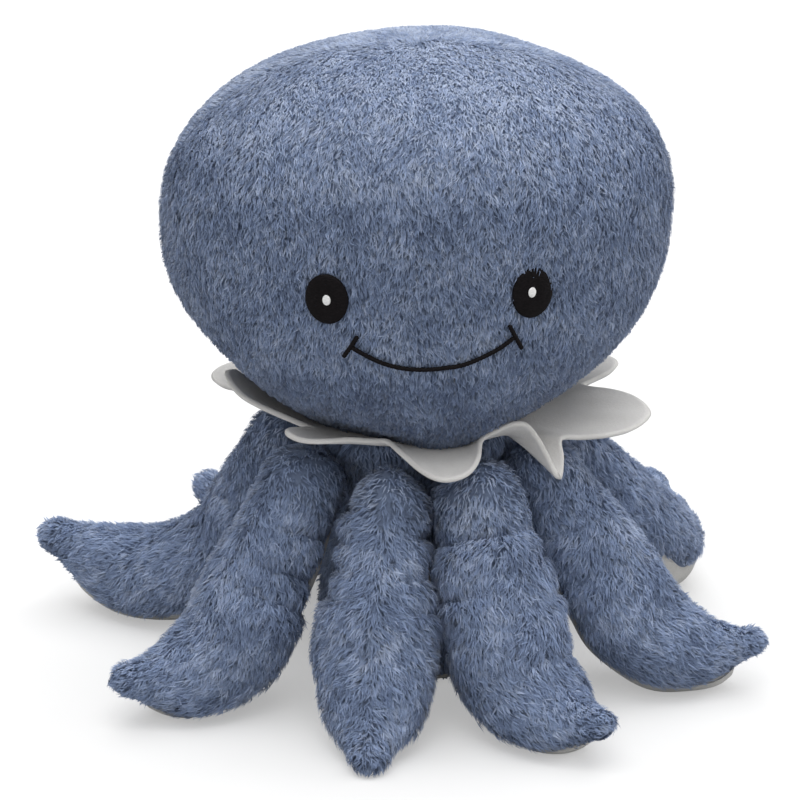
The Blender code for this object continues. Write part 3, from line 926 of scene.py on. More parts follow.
@dataclass
class Head:
    """The two plush halves of the head, cut along a seam over the crown."""

    form: HeadForm
    bare: tuple[tuple[float, float, float, float], ...]
    smile: Array
    inset: float = 0.0018
    crown_inset_share: float = 0.3
    rows: int = 96
    columns: int = 110
    crown_gap: float = 0.004
    crown_band: tuple[float, float] = (0.188, 0.026)
    fullness: tuple[Fullness, ...] = (
        Fullness(0.0030, 70.0, 44.0, 0.1860, 0.036),
        Fullness(0.0045, 9.0, 20.0, 0.0935, 0.011),
    )
    unevenness: float = 0.0009
    uneven_wave: float = 0.075
    dart_depth: float = 0.0009
    dart_width: float = 0.0035
    dart_front: float = -0.052
    dart_back: float = 0.004
    dart_height: float = 0.19
    seam_depth: float = 0.0007
    seam_degrees: float = 2.5
    # Painted light lightens the fibres towards the crown, and painted shade darkens them towards the chin.
    crown_painted_light: float = 0.30
    chin_painted_shade: float = 0.38
    pile: Pile = Pile(
        length=0.0036, rise=0.0016, width=0.00052, per_square_mm=2.60, tuft=0.0016, gather=0.50, stray=0.24,
        sway=0.24, sway_wave=0.022, contrast=0.42, fleck=0.30,
    )

    def half(self, front: bool) -> Skin:
        """The skin of one half, from the crown down to the neck edge.

        Rows follow the outline at even angles of its superellipse above the widest height and at even heights
        below it. Columns go round half a turn, from side seam to side seam. A shallow dart runs forwards from
        the crown, the chin sags onto the collar in a bell shape, and slow ripples keep the surface from being
        too regular. The pile lies along the panel, from the crown straight down, and only partly fans out. It
        is shorter at the crown. Painted light makes its fibres lighter at the crown, and painted shade makes
        them darker at the chin.

        Args:
            front: True for the half with the face.

        Returns:
            The skin, inside the solid's surface by the inset.
        """
        form = self.form
        upper = self.rows * 5 // 8
        angles = np.linspace(0.0, math.pi / 2.0, upper) ** 1.15 * (math.pi / 2.0) ** -0.15
        angles[0] = self.crown_gap
        rise = np.cos(angles) ** (2.0 / form.crown_power)
        top = mix(form.widest_height, form.crown_height, rise)
        below = np.linspace(form.widest_height, form.neck_height, self.rows - upper + 1)[1:]
        height = np.concatenate((top, below))
        start = -90.0 if front else 90.0
        azimuth = np.radians(np.linspace(start, start + 180.0, self.columns))
        z, turn = lattice(height, azimuth)
        radius = form.radius(z)
        points = np.stack((radius * np.sin(turn), -radius * form.depth_share(z) * np.cos(turn), z), axis=-1)
        normals = Skin(points, False).normals()
        x, y, degrees = points[..., 0], points[..., 1], np.degrees(turn)
        forwards = ease((self.dart_back - y) / 0.010) * (z > self.dart_height)
        dart = self.dart_depth * hump(x, self.dart_width) * ease((y - self.dart_front) / 0.020) * forwards
        seam = self.seam_depth * hump(np.minimum(degrees - start, start + 180.0 - degrees), self.seam_degrees)
        slow = self.unevenness * ripple(points, self.uneven_wave, 11)
        for full in self.fullness:
            slow += full.at(degrees, z)
        band, reach = self.crown_band
        inset = self.inset * mix(1.0, self.crown_inset_share, hump(z - band, reach))
        points = turned(points + normals * (slow - inset - dart - seam)[..., None], form.turn)

        skin = Skin(points, False)
        along, _ = skin.steps()
        part = hump(x, 0.006) * forwards
        nap = np.cross(np.array((1.0 if front else -1.0, 0.0, 0.0)), normals)
        radial = 0.45 + 1.6 * hump(y, 0.018) * ease((z - 0.19) / 0.02)
        combed = np.array((1.0, 0.0, 0.0)) * (0.3 * np.sign(x) * part)[..., None]
        skin.flow = nap + unit(along) * radial[..., None] + combed
        skin.length = mix(1.0, 0.82, ease((0.135 - z) / 0.04)) * mix(1.0, 0.75, hump(x, 0.002) * part)
        skin.cover = self.cover(points) if front else np.ones(z.shape)
        skin.lift = mix(1.0, 0.55, ease((z - 0.165) / 0.040))
        # Painted light towards the crown and painted shade towards the chin, added to each fibre's tint.
        skin.shade = self.crown_painted_light * ease((z - 0.176) / 0.042) - self.chin_painted_shade * ease((0.135 - z) / 0.040)
        return skin

    def cover(self, points: Array) -> Array:
        """Where pile grows on the face: nowhere under the eyes, and thinly under the thread of the smile.

        Args:
            points: The front half's points.

        Returns:
            The share of the full pile at each.
        """
        x, y, z = self.form.to_face(points)
        cover = np.ones(x.shape)
        for across, height, half_width, half_tall in self.bare:
            inside = ((x - across) / half_width) ** 2 + ((z - height) / half_tall) ** 2
            cover = np.where(inside < 0.80, 0.0, cover)
        away = (x[..., None] - self.smile[:, 0]) ** 2 + (z[..., None] - self.smile[:, 1]) ** 2
        gap = np.sqrt(away.min(axis=-1))
        return np.where((gap < 0.0009) & (y < 0.0), 0.25 * cover, cover)

    def build(self, finishes: Finishes) -> None:
        """Builds both halves.

        Args:
            finishes: All finishes of the toy.
        """
        for name, front, seed in (("head_front", True, 100), ("head_back", False, 200)):
            skin = self.half(front)
            draft = Draft(name + "_plush")
            self.close(draft, skin)
            skin.grow(draft, self.pile, seed)
            nodes = (name, "head_filling") if front else (name,)
            place(draft.build(finishes.plush), "head", Slot.PLUSH, nodes, 0.9)

    def close(self, draft: Draft, skin: Skin) -> None:
        """Adds the backing, closed by a fan from its rim to a point inside the head.

        Args:
            draft: Where the points and faces go.
            skin: The half's skin.
        """
        rim = grid_rim(*skin.points.shape[:2])
        skin.backing(draft, False, False)
        inner = np.array((0.0, 0.0, self.form.widest_height))
        ring = skin.points.reshape(-1, 3)[rim]
        fan = fan_faces(len(rim), np.arange(len(rim)), True)[:, ::-1]
        draft.add(np.concatenate((ring, inner[None])), [fan], 0.3, 0.0, np.full((len(rim) + 1, 2), 0.95))


# Stitched face

@dataclass
class Face:
    """The stitched eyes, their highlights and the smile."""

    form: HeadForm
    eye_places: tuple[tuple[float, float], ...] = ((-0.0328, 0.1516), (0.0320, 0.1523))
    eye_half_width: float = 0.0067
    eye_half_tall: float = 0.0083
    eye_height: float = 0.0013
    glint_half_width: float = 0.00125
    glint_half_tall: float = 0.0017
    glint_height: float = 0.0004
    glint_offs: tuple[tuple[float, float], ...] = ((0.0002, 0.0000), (-0.0006, 0.0006))
    thread_radius: float = 0.00072
    stitch: float = 0.00045
    stitch_relief: float = 0.00006
    smile_points: tuple[tuple[float, float], ...] = (
        (-0.0253, 0.1362), (-0.0175, 0.1320), (-0.0103, 0.1297), (-0.0030, 0.1290), (0.0042, 0.1294),
        (0.0100, 0.1302), (0.0157, 0.1323), (0.0215, 0.1351), (0.0262, 0.1383),
    )
    ticks: tuple[tuple[tuple[float, float], tuple[float, float]], ...] = (
        ((-0.0232, 0.1402), (-0.0277, 0.1323)), ((0.0243, 0.1428), (0.0288, 0.1337)),
    )

    def path(self) -> Array:
        """The smile's middle line on the face, as places across and up."""
        return spline(np.array(self.smile_points), np.linspace(0.0, len(self.smile_points) - 1.0, 180))

    def tick_paths(self, count: int) -> list[Array]:
        """The smile's two ticks, as evenly spaced places across and up."""
        shares = np.linspace(0.0, 1.0, count)[:, None]
        return [mix(np.array(start), np.array(end), shares) for start, end in self.ticks]

    def patch(
        self, name: str, at: tuple[float, float], half: tuple[float, float], height: float, base: float
    ) -> Draft:
        """A domed oval of satin stitches.

        Rows run from the middle to the rim and back underneath, columns round the oval. The dome is the root
        of one less the radius to the fourth power, and the stitches are ridges of a raised cosine across it.

        Args:
            name: The piece's name.
            at: The oval's middle, across and up the face.
            half: Its half width and half height.
            height: How high it stands.
            base: How high its rim lies over the face.

        Returns:
            The closed piece.
        """
        dome_rows, pole = 26, 0.04
        radial = np.concatenate((np.linspace(pole, 1.0, dome_rows), np.linspace(1.0, pole, 5)[1:]))
        top = np.arange(len(radial)) < dome_rows
        radius, angle = lattice(radial, np.linspace(0.0, math.tau, 72, endpoint=False))
        across = at[0] + half[0] * radius * np.sin(angle)
        up = at[1] + half[1] * radius * np.cos(angle)
        ridges = self.stitch_relief * np.cos(math.tau * up / self.stitch) * ease((1.0 - radius) / 0.1)
        dome = (height - base) * arch(radius, 4) + base + ridges
        outwards = np.where(top[:, None], dome, base - 0.0008)
        points = self.form.on_face(across, up, outwards)
        draft = Draft(name)
        Skin(points[:, ::-1], True).backing(draft, True, True, 0.5)
        return draft

    def thread(self, draft: Draft, path: Array) -> None:
        """A raised line of slanted stitches along a path on the face, round and closed at its ends.

        The radius is the thread's own times one plus a small sine of the way along plus the angle around,
        and runs to nothing at both ends as the root of one less the square.

        Args:
            draft: Where the points and faces go.
            path: Places across and up the face, evenly spaced.
        """
        centre = self.form.on_face(path[:, 0], path[:, 1], 0.00060)
        normal = unit(self.form.on_face(path[:, 0], path[:, 1], 0.0016) - centre)
        along = unit(np.gradient(centre, axis=0))
        side = np.cross(along, normal)
        run = np.linalg.norm(np.diff(centre, axis=0, prepend=centre[:1]), axis=-1).cumsum()
        end = np.minimum(run, run[-1] - run) / self.thread_radius
        taper = arch(1.0 - np.clip(end, 0.02, 1.0))
        angle = np.linspace(0.0, math.tau, 14, endpoint=False)
        twist = 1.0 + 0.10 * np.sin(math.tau * run[:, None] / 0.0011 + angle)
        radius = self.thread_radius * taper[:, None] * twist
        points = centre[:, None] + radius[..., None] * (
            side[:, None] * np.cos(angle)[:, None] + normal[:, None] * np.sin(angle)[:, None]
        )
        Skin(points[:, ::-1], True).backing(draft, True, True, 0.5)

    def build(self, finishes: Finishes) -> None:
        """Builds the eyes, the highlights and the smile.

        Args:
            finishes: All finishes of the toy.
        """
        half = (self.eye_half_width, self.eye_half_tall)
        glint = (self.glint_half_width, self.glint_half_tall)
        for side, at, off in zip(("left", "right"), self.eye_places, self.glint_offs):
            glint_at = (at[0] + off[0], at[1] + off[1])
            eye = self.patch(f"eye_{side}_stitching", at, half, self.eye_height, 0.0002)
            place(eye.build(finishes.black_thread), "head", Slot.BLACK, (f"eye_{side}",))
            top = self.eye_height + self.glint_height
            light = self.patch(f"eye_highlight_{side}_stitching", glint_at, glint, top, self.eye_height)
            place(light.build(finishes.white_thread), "head", Slot.WHITE, (f"eye_highlight_{side}",))
        draft = Draft("smile_stitching")
        for path in (self.path(), *self.tick_paths(40)):
            self.thread(draft, path)
        place(draft.build(finishes.black_thread), "head", Slot.BLACK, ("smile",))


# Collar

@dataclass
class Collar:
    """The felt collar: a ring in the neck seam with eight lobes, each with its own lean, reach and curl.

    The rim is a closed smooth line through its points: degrees from the front towards the viewer's right,
    and millimetres from the middle line and from the floor. Each row starts at the notch before its lobe.
    """

    hole: float = 0.0270
    ring: float = 0.0400
    height: float = 0.09085
    thickness: float = 0.0018
    curl_power: float = 1.3
    edge_round: float = 0.0011
    rim: tuple[tuple[tuple[float, float, float], ...], ...] = (
        (
            (-11.5, 47.0, 94.4), (-4.6, 55.0, 93.0), (1.4, 62.5, 90.4), (5.5, 66.5, 89.0),
            (9.8, 67.7, 88.7), (15.0, 66.2, 90.0), (19.8, 60.5, 92.2),
        ),
        (
            (25.1, 51.0, 94.9), (31.3, 51.5, 97.7), (36.7, 53.0, 99.4), (42.3, 54.5, 98.0),
            (45.5, 57.0, 92.6), (46.7, 60.5, 86.4), (47.6, 64.5, 80.0), (51.9, 62.0, 85.4),
        ),
        (
            (54.6, 59.5, 90.6), (60.8, 64.0, 89.7), (66.1, 70.0, 89.3), (71.8, 76.0, 89.6),
            (77.0, 79.5, 91.0), (82.5, 79.5, 91.6), (88.0, 75.0, 93.2), (93.0, 67.0, 93.6),
        ),
        (
            (97.0, 58.0, 93.8), (102.0, 62.0, 93.5), (107.0, 70.0, 93.8), (112.0, 75.5, 94.0),
            (117.5, 77.0, 93.8), (124.0, 75.0, 93.0), (130.0, 69.0, 92.0), (135.0, 60.0, 92.0),
        ),
        (
            (139.0, 48.0, 93.0), (145.0, 58.0, 91.5), (153.0, 66.0, 90.5), (162.0, 71.0, 90.0),
            (172.0, 73.5, 90.0), (182.0, 73.0, 90.0), (191.0, 69.0, 90.5), (198.0, 61.0, 91.5),
        ),
        (
            (204.0, 48.0, 93.0), (210.0, 58.0, 91.5), (217.0, 68.0, 90.0), (225.0, 75.0, 88.5),
            (233.0, 79.0, 87.5), (241.0, 80.5, 87.5), (248.0, 76.0, 87.5), (255.0, 66.0, 89.0),
        ),
        (
            (262.0, 52.0, 94.0), (270.0, 59.0, 100.0), (277.0, 62.5, 105.0), (283.0, 65.5, 106.0),
            (294.0, 64.5, 103.6), (302.0, 61.5, 101.8), (308.0, 56.0, 98.8), (313.0, 50.0, 95.0),
        ),
        (
            (314.5, 48.0, 93.4), (315.2, 55.0, 96.4), (316.5, 61.5, 98.0), (319.2, 64.8, 98.2),
            (322.2, 64.2, 97.0), (325.2, 62.0, 96.2), (329.4, 59.0, 96.2), (335.8, 54.5, 96.4),
            (342.2, 50.0, 95.2),
        ),
    )
    rows: int = 26

    def edge(self) -> Array:
        """The rim, read six times between its points.

        Returns:
            Degrees, millimetres outwards and millimetres up for each column.
        """
        points = np.concatenate([np.array(lobe) for lobe in self.rim])
        once = np.array((360.0, 0.0, 0.0))
        ring = np.concatenate((points[-3:] - once, points, points[:3] + once))
        return spline(ring, 3.0 + np.arange(6 * len(points)) / 6.0)

    def middle(self, edge: Array, radial: Array) -> Array:
        """Points of the collar's middle surface.

        Each column keeps the rim's azimuth. It runs flat from the hole to the ring, and from there straight
        outwards to the rim, while its height goes the way to the rim's by the share of that run to a power.

        Args:
            edge: The rim, a column to each of its rows.
            radial: From 0 at the hole over 1 at the ring to 2 at the rim.

        Returns:
            The points.
        """
        azimuth = np.radians(edge[:, 0])
        out = np.clip(radial - 1.0, 0.0, 1.0)[:, None]
        inner = mix(self.hole, self.ring, np.clip(radial, 0.0, 1.0))[:, None]
        reach = mix(inner, edge[:, 1] / 1000.0, out)
        height = mix(self.height, edge[:, 2] / 1000.0, out**self.curl_power)
        return np.stack((reach * np.sin(azimuth), -reach * np.cos(azimuth), height), axis=-1)

    def build(self, finishes: Finishes) -> None:
        """Builds the collar as one closed shell with a rounded edge.

        Rows go from the hole over the top to the edge and back underneath. The half thickness runs to nothing
        at the edge as the root of one less the square, over the last stretch before it. The collar's flat
        pattern is taken off again, because top and underside would share a place on one flat pattern.

        Args:
            finishes: All finishes of the toy.
        """
        top = np.concatenate((np.linspace(0.0, 1.0, 6)[:-1], 1.0 + np.linspace(0.0, 1.0, self.rows) ** 0.8))
        middle = self.middle(self.edge(), top)
        normals = Skin(middle[:, ::-1], True).normals()[:, ::-1]
        gap = np.linalg.norm(middle - middle[-1], axis=-1)
        half = 0.5 * self.thickness * arch(1.0 - np.clip(gap / self.edge_round, 0.0, 1.0))
        upper = middle + normals * half[..., None]
        lower = middle - normals * half[..., None]
        loop = np.concatenate((upper, lower[-2::-1]))[:, ::-1]
        rows, columns = loop.shape[:2]
        draft = Draft("collar_felt")
        faces = grid_faces(rows + 1, columns, True) % (rows * columns)
        draft.add(loop, [faces], 0.5, 1.0, np.zeros((rows * columns, 2)))
        piece = draft.build(finishes.felt)
        piece.data.uv_layers.remove(piece.data.uv_layers["OFBake"])
        place(piece, "collar", Slot.FELT, ("collar",))


# Torso

@dataclass
class Torso:
    """The small stuffed torso between the arms, and the panel that it stands on."""

    rows: int = 60
    columns: int = 96
    panel_radius: float = 0.0318
    panel_thickness: float = 0.0012
    panel_lift: float = 0.0002
    panel_crown: float = 0.0016
    pile: Pile = Pile(
        length=0.0050, rise=0.0018, width=0.00060, per_square_mm=1.10, tuft=0.0018, gather=0.40, stray=0.30,
        sway=0.35, sway_wave=0.030,
    )
    profile: tuple[tuple[float, float], ...] = (
        (0.0330, 0.0885), (0.0350, 0.0860), (0.0330, 0.0800), (0.0290, 0.0720), (0.0270, 0.0640),
        (0.0285, 0.0540), (0.0300, 0.0420), (0.0312, 0.0300), (0.0318, 0.0180), (0.0308, 0.0080),
        (0.0290, 0.0022),
    )

    def build(self, finishes: Finishes) -> None:
        """Builds the torso and its panel.

        The torso is a smooth profile, from the neck down, turned about the middle line. The panel is a disc
        whose edge rises by the eighth power of its share of the radius.

        Args:
            finishes: All finishes of the toy.
        """
        line = spline(np.array(self.profile), np.linspace(0.0, len(self.profile) - 1.0, self.rows))
        azimuth = np.linspace(0.0, math.tau, self.columns, endpoint=False)
        radius, height = line[:, :1], np.broadcast_to(line[:, 1:], (self.rows, self.columns))
        points = np.stack((radius * np.sin(azimuth), -radius * np.cos(azimuth), height), axis=-1)
        skin = Skin(points, True)
        skin.flow = skin.steps()[0]
        skin.length = np.ones(height.shape)
        skin.cover = np.ones(height.shape)
        draft = Draft("torso_plush")
        skin.backing(draft, True, True)
        skin.grow(draft, self.pile, 300, 0.0004)
        place(draft.build(finishes.plush), "torso", Slot.PLUSH, ("torso_cover", "torso_filling"), 0.8)

        radial, turn = lattice(np.linspace(0.02, 1.0, 24), azimuth)
        reach = self.panel_radius * radial
        rise = self.panel_lift + self.panel_crown * radial**8
        disc = np.stack((reach * np.sin(turn), reach * np.cos(turn), rise), axis=-1)
        draft = Draft("base_panel_suede")
        upper = disc[::-1] + np.array((0.0, 0.0, self.panel_thickness))
        Skin(np.concatenate((disc, upper)), True).backing(draft, True, True, 0.5)
        place(draft.build(finishes.suede), "torso", Slot.SUEDE, ("base_panel",), 0.8)


# Arms

@dataclass(frozen=True)
class Crease:
    """A gather across an arm: how far along it lies, at which angle from the top, how wide and how deep."""

    share: float
    angle: float
    spread: float = 40.0
    depth: float = 0.0030
    width: float = 0.024
    swell: float = 0.5


@dataclass(frozen=True)
class ArmPose:
    """Where one arm stands and how it bends; angles in degrees, lengths in metres."""

    name: str
    azimuth: float
    turn: float
    lean: float
    tip_slope: float
    bend_share: float
    tip_share: float
    lean_run: float
    roll: float
    parting: float
    left_gathers: tuple[float, ...]
    right_gathers: tuple[float, ...]
    gather_depth: float
    creases: tuple[Crease, ...] = ()

    def all_creases(self) -> tuple[Crease, ...]:
        """The gathers along both sides, and the creases that lie elsewhere.

        Returns:
            All of them as creases.
        """
        left = tuple(Crease(share, -84.0, depth=self.gather_depth) for share in self.left_gathers)
        right = tuple(Crease(share, 84.0, depth=self.gather_depth) for share in self.right_gathers)
        return left + right + self.creases


@dataclass
class Arm:
    """One stuffed arm: a plush tube on its own bent line, with a suede panel sewn in underneath."""

    pose: ArmPose
    seed: int
    root_reach: float = 0.0470
    root_height: float = 0.0710
    root_radius: float = 0.0150
    swell: float = 0.0190
    tip_radius: float = 0.0072
    bend_run: float = 0.0380
    tip_run: float = 0.0140
    line_steps: int = 48
    depth_share: float = 0.95
    below_share: float = 0.88
    swells: tuple[float, ...] = (0.785, 0.905, 1.0, 1.0, 0.84, 0.38)
    inset: float = 0.0018
    seam_angle: float = 117.5
    seam_depth: float = 0.0010
    top_seam_depth: float = 0.0007
    under_panel: float = 0.0014
    panel_ends: tuple[float, float] = (0.072, 0.938)
    panel_thickness: float = 0.0012
    rows: int = 110
    columns: int = 96
    cap_rows: int = 12
    cap_degrees: float = 86.0
    pile: Pile = Pile(
        length=0.0050, rise=0.0021, width=0.00060, per_square_mm=3.20, tuft=0.0023, gather=0.45, stray=0.26,
        sway=0.30, sway_wave=0.020, contrast=0.40, fleck=0.18,
    )

    @property
    def body(self) -> str:
        """The name of the body that the arm is."""
        return f"arm_{self.pose.name}"

    def line(self) -> tuple[Array, Array]:
        """Points and directions along the middle line, with the arm pointing along -Y.

        The slope is the lean until the bend starts, then runs evenly to the tip's slope, and the heading
        eases to the turn. Each point is the one before it plus one step along the direction there.

        Returns:
            The points and the unit directions.
        """
        pose = self.pose
        bend_run = self.bend_run * pose.bend_share
        length = pose.lean_run + bend_run + self.tip_run * pose.tip_share
        step = length / self.line_steps
        share = np.linspace(0.0, 1.0, self.line_steps + 1)
        bent = np.clip((share * length - pose.lean_run) / bend_run, 0.0, 1.0)
        slope = np.radians(mix(-pose.lean, pose.tip_slope, bent))
        heading = np.radians(pose.turn) * ease(share)
        ways = np.stack(
            (np.cos(slope) * np.sin(heading), -np.cos(slope) * np.cos(heading), np.sin(slope)), axis=-1
        )
        points = np.concatenate((np.zeros((1, 3)), np.cumsum(ways[:-1] * step, axis=0)))
        return points, ways

    def tube(self) -> tuple[Array, Array, Array]:
        """The arm's outer surface.

        Each section is the middle line's point plus the half width times the sine of the angle sideways, plus
        the half depth times its cosine upwards, and less of it below. The ends are round caps, on which the
        half width is the cap's radius times the cosine of an angle.

        Returns:
            The points, and for each row the share along the line and for each column the angle from the top.
        """
        points, ways = self.line()
        steps = self.cap_rows
        caps = np.radians(np.linspace(self.cap_degrees, 0.0, steps, endpoint=False))
        share = np.concatenate((np.zeros(steps), np.linspace(0.0, 1.0, self.rows), np.ones(steps)))
        stations = share * self.line_steps
        way = unit(spline(ways, stations))
        centre = spline(points, stations)
        push = np.concatenate(
            (-self.root_radius * np.sin(caps), np.zeros(self.rows), self.tip_radius * np.sin(caps[::-1]))
        )
        half = self.swell * spline(np.array(self.swells), share * (len(self.swells) - 1))
        half[:steps] = self.root_radius * np.cos(caps)
        half[-steps:] = self.tip_radius * np.cos(caps[::-1])
        centre = centre + way * push[:, None]
        side = np.array((1.0, 0.0, 0.0))
        sideways = unit(side - way * (way @ side)[:, None])
        upwards = np.cross(way, sideways)
        flat = ease(share / 0.3)
        angle = np.linspace(0.0, math.tau, self.columns, endpoint=False)
        depth = half * mix(1.0, self.depth_share, flat)
        below = mix(1.0, self.below_share, flat)
        rise = depth[:, None] * np.cos(angle) * np.where(np.cos(angle) > 0.0, 1.0, below[:, None])
        tube = (
            centre[:, None]
            + sideways[:, None] * (half[:, None] * np.sin(angle))[..., None]
            + upwards[:, None] * rise[..., None]
        )
        return tube, share, angle

    def puffed(self) -> tuple[Skin, Array, Array]:
        """The backing: the outer surface drawn in by the inset, the seams and the creases, on the floor.

        Returns:
            The skin in the object's frame, and the share along and the angle from the top of each point.
        """
        tube, share, angle = self.tube()
        along, around = lattice(share, np.degrees(angle))
        off_top = np.minimum(around, 360.0 - around)
        signed = np.where(around > 180.0, around - 360.0, around)
        drop = np.full(along.shape, self.inset)
        for crease in self.pose.all_creases():
            slant = along - crease.share
            drop += crease.depth * hump(slant, crease.width) * hump(signed - crease.angle, crease.spread)
            drop -= crease.swell * crease.depth * hump(slant - 2.2 * crease.width, 1.6 * crease.width) * hump(
                signed - crease.angle, crease.spread
            )
        under = 180.0 - np.abs(self.rolled(around, along))
        drop += self.under_panel * ease((self.panel_half_angle(along) - 5.0 - under) / 8.0)
        seam = self.seam_depth * hump(under - (180.0 - self.seam_angle), 7.0)
        drop += seam + self.top_seam_depth * hump(off_top, 5.0) * ease(along / 0.15)
        skin = Skin(tube, True).moved(-drop - 0.0008 * ripple(tube, 0.035, self.seed))
        skin.points[..., 2] = np.maximum(skin.points[..., 2], 0.0009 - self.root_height)
        return Skin(self.placed(skin.points), True), along, signed

    def roll(self, along: Array) -> Array:
        """How far the cover turns about the arm's line: nothing at the root, all of it past the middle."""
        return self.pose.roll * ease((along - 0.30) / 0.25)

    def rolled(self, angle: Array, along: Array) -> Array:
        """Angles from the line opposite the underside's middle, from -180 to 180."""
        return (angle - self.roll(along) + 180.0) % 360.0 - 180.0

    def placed(self, points: Array) -> Array:
        """Points of the arm's own frame in the object's frame."""
        moved = points + np.array((0.0, -self.root_reach, self.root_height))
        return turned(moved, self.pose.azimuth)

    def panel_half_angle(self, along: Array) -> Array:
        """Half the angle that the suede panel covers: the seam's, run to nothing at both ends by a root.

        Args:
            along: Shares along the arm.

        Returns:
            Degrees to each side of the underside's middle.
        """
        middle, half = 0.505, 0.435
        off = np.clip(np.abs(along - middle) / half, 0.0, 1.0)
        return (180.0 - self.seam_angle) * arch(off, 4)

    def build(self, finishes: Finishes) -> None:
        """Builds the plush tube with its pile and the suede panel.

        The pile lies along the arm and parts to both sides of the top seam, more so towards the tip. It is
        short beside the panel and at the tip.

        Args:
            finishes: All finishes of the toy.
        """
        skin, along, signed = self.puffed()
        ways = skin.steps()
        spread = mix(1.0, 1.5, ease((along - 0.6) / 0.4))
        parting = self.pose.parting * np.sign(signed) * ease(np.abs(signed) / 10.0) * spread
        skin.flow = unit(ways[0]) + unit(ways[1]) * parting[..., None]
        under = 180.0 - np.abs(self.rolled(signed, along))
        inside = under < self.panel_half_angle(along) - 3.0
        ends = (along > 0.07) & (along < 0.94)
        skin.cover = np.where(inside & ends, 0.0, 1.0) * mix(0.35, 1.0, ease(along / 0.08))
        skin.length = mix(0.75, 1.0, ease(along / 0.2)) * mix(1.0, 0.62, ease((along - 0.82) / 0.18))
        skin.length = skin.length * mix(1.0, 0.55, ease((80.0 - under) / 20.0))
        draft = Draft(f"{self.body}_plush")
        skin.backing(draft, True, True)
        skin.grow(draft, self.pile, self.seed, 0.0003)
        nodes = (f"{self.body}_cover", f"{self.body}_filling")
        place(draft.build(finishes.plush), self.body, Slot.PLUSH, nodes, 0.75)
        self.panel(finishes)

    def panel(self, finishes: Finishes) -> None:
        """Builds the suede panel: the tube's underside inside the seam, a little crowned between its edges.

        Args:
            finishes: All finishes of the toy.
        """
        tube, share, _ = self.tube()
        start, end = self.panel_ends
        rows = np.linspace(start, end, 90)
        half = self.panel_half_angle(rows)[:, None]
        spread = np.linspace(-1.0, 1.0, 44)
        cap = self.cap_rows - 1
        station = np.interp(rows, share[cap:-cap], np.arange(cap, len(share) - cap))
        degrees = 180.0 + self.roll(rows)[:, None] + half * spread
        column = degrees / 360.0 * self.columns
        row_index = np.broadcast_to(station[:, None], column.shape)
        low_row, low_column = np.floor(row_index).astype(int), np.floor(column).astype(int)
        down, over = (row_index - low_row)[..., None], (column - low_column)[..., None]

        def across(row: Array) -> Array:
            """Points on the tube's rows, between the columns."""
            return mix(tube[row, low_column % self.columns], tube[row, (low_column + 1) % self.columns], over)

        skin = Skin(mix(across(low_row), across(low_row + 1), down), False)
        edge = np.minimum(1.0 - np.abs(spread), np.minimum(rows - start, end - rows)[:, None] * 12.0)
        drop = 0.0002 + 0.0013 * (1.0 - ease(edge / 0.24))
        skin = skin.moved(-drop - 0.0004 * ripple(skin.points, 0.02, self.seed + 7))
        skin.points[..., 2] = np.maximum(skin.points[..., 2], 0.0003 - self.root_height)
        skin = Skin(self.placed(skin.points), False)
        draft = Draft(f"{self.body}_suede")
        shell(draft, skin, self.panel_thickness)
        place(draft.build(finishes.suede), self.body, Slot.SUEDE, (f"{self.body}_underside",), 0.75)


# Name, azimuth, turn, lean, tip slope, bend share, tip share, lean run, roll, parting, the shares along of
# the gathers on the left and on the right, the gathers' depth, and other creases and full places.
ARM_POSES = (
    ArmPose("front", -10.0, 3.0, 64.0, -22.0, 0.84, 0.66, 0.04473, 0.0, 0.75,
            (0.02, 0.14, 0.24, 0.36), (0.10, 0.265, 0.39), 0.0026, (
                Crease(0.16, 88.0, 60.0, 0.0042, 0.22, 0.0), Crease(0.26, -88.0, 60.0, 0.0020, 0.10, 0.0),
                Crease(0.55, -92.0, 50.0, -0.0026, 0.15, 0.0))),
    ArmPose("front_right", 26.5, 18.0, 62.0, 12.0, 0.88, 0.75, 0.05100, -8.0, 0.3,
            (0.30,), (0.22, 0.36), 0.0016, (
                Crease(0.12, -30.0, 70.0, 0.0030, 0.030), Crease(0.66, 88.0, 40.0, 0.0022, 0.090, 0.0),
                Crease(0.15, -95.0, 55.0, -0.0026, 0.20, 0.0),
                Crease(0.54, -104.0, 60.0, -0.0040, 0.24, 0.0))),
    ArmPose("right", 67.0, 18.0, 58.0, 16.0, 1.00, 0.85, 0.05173, -10.0, 0.4,
            (0.16, 0.33), (0.12, 0.28), 0.0012),
    ArmPose("back_right", 111.0, 69.0, 48.5, 30.0, 1.17, 0.81, 0.06130, 50.0, 0.3,
            (0.22,), (0.15, 0.30), 0.0014, (
                Crease(0.85, 0.0, 360.0, -0.0018, 0.30, 0.0), Crease(0.72, -20.0, 80.0, -0.0018, 0.30, 0.0))),
    ArmPose("back", 155.0, 12.0, 59.0, 14.0, 0.95, 0.90, 0.05149, 0.0, 0.5,
            (0.10, 0.24, 0.36), (0.14, 0.28), 0.0022),
    ArmPose("back_left", 213.0, 42.0, 68.0, 52.0, 1.06, 0.94, 0.04802, 0.0, 0.4,
            (0.12, 0.26), (0.16, 0.32), 0.0020),
    ArmPose("left", 252.0, 4.0, 66.5, 24.6, 1.84, 1.09, 0.03279, 7.0, 0.4,
            (0.14, 0.30), (0.20,), 0.0012,
            (Crease(0.80, 4.0, 76.0, -0.0028, 0.30, 0.0),)),
    ArmPose("front_left", 306.8, -12.0, 60.0, 11.0, 0.92, 0.80, 0.05113, 10.0, 0.4,
            (0.20,), (0.13, 0.27, 0.38), 0.0016, (Crease(0.58, 106.0, 60.0, -0.0034, 0.24, 0.0),)),
)


# Stage

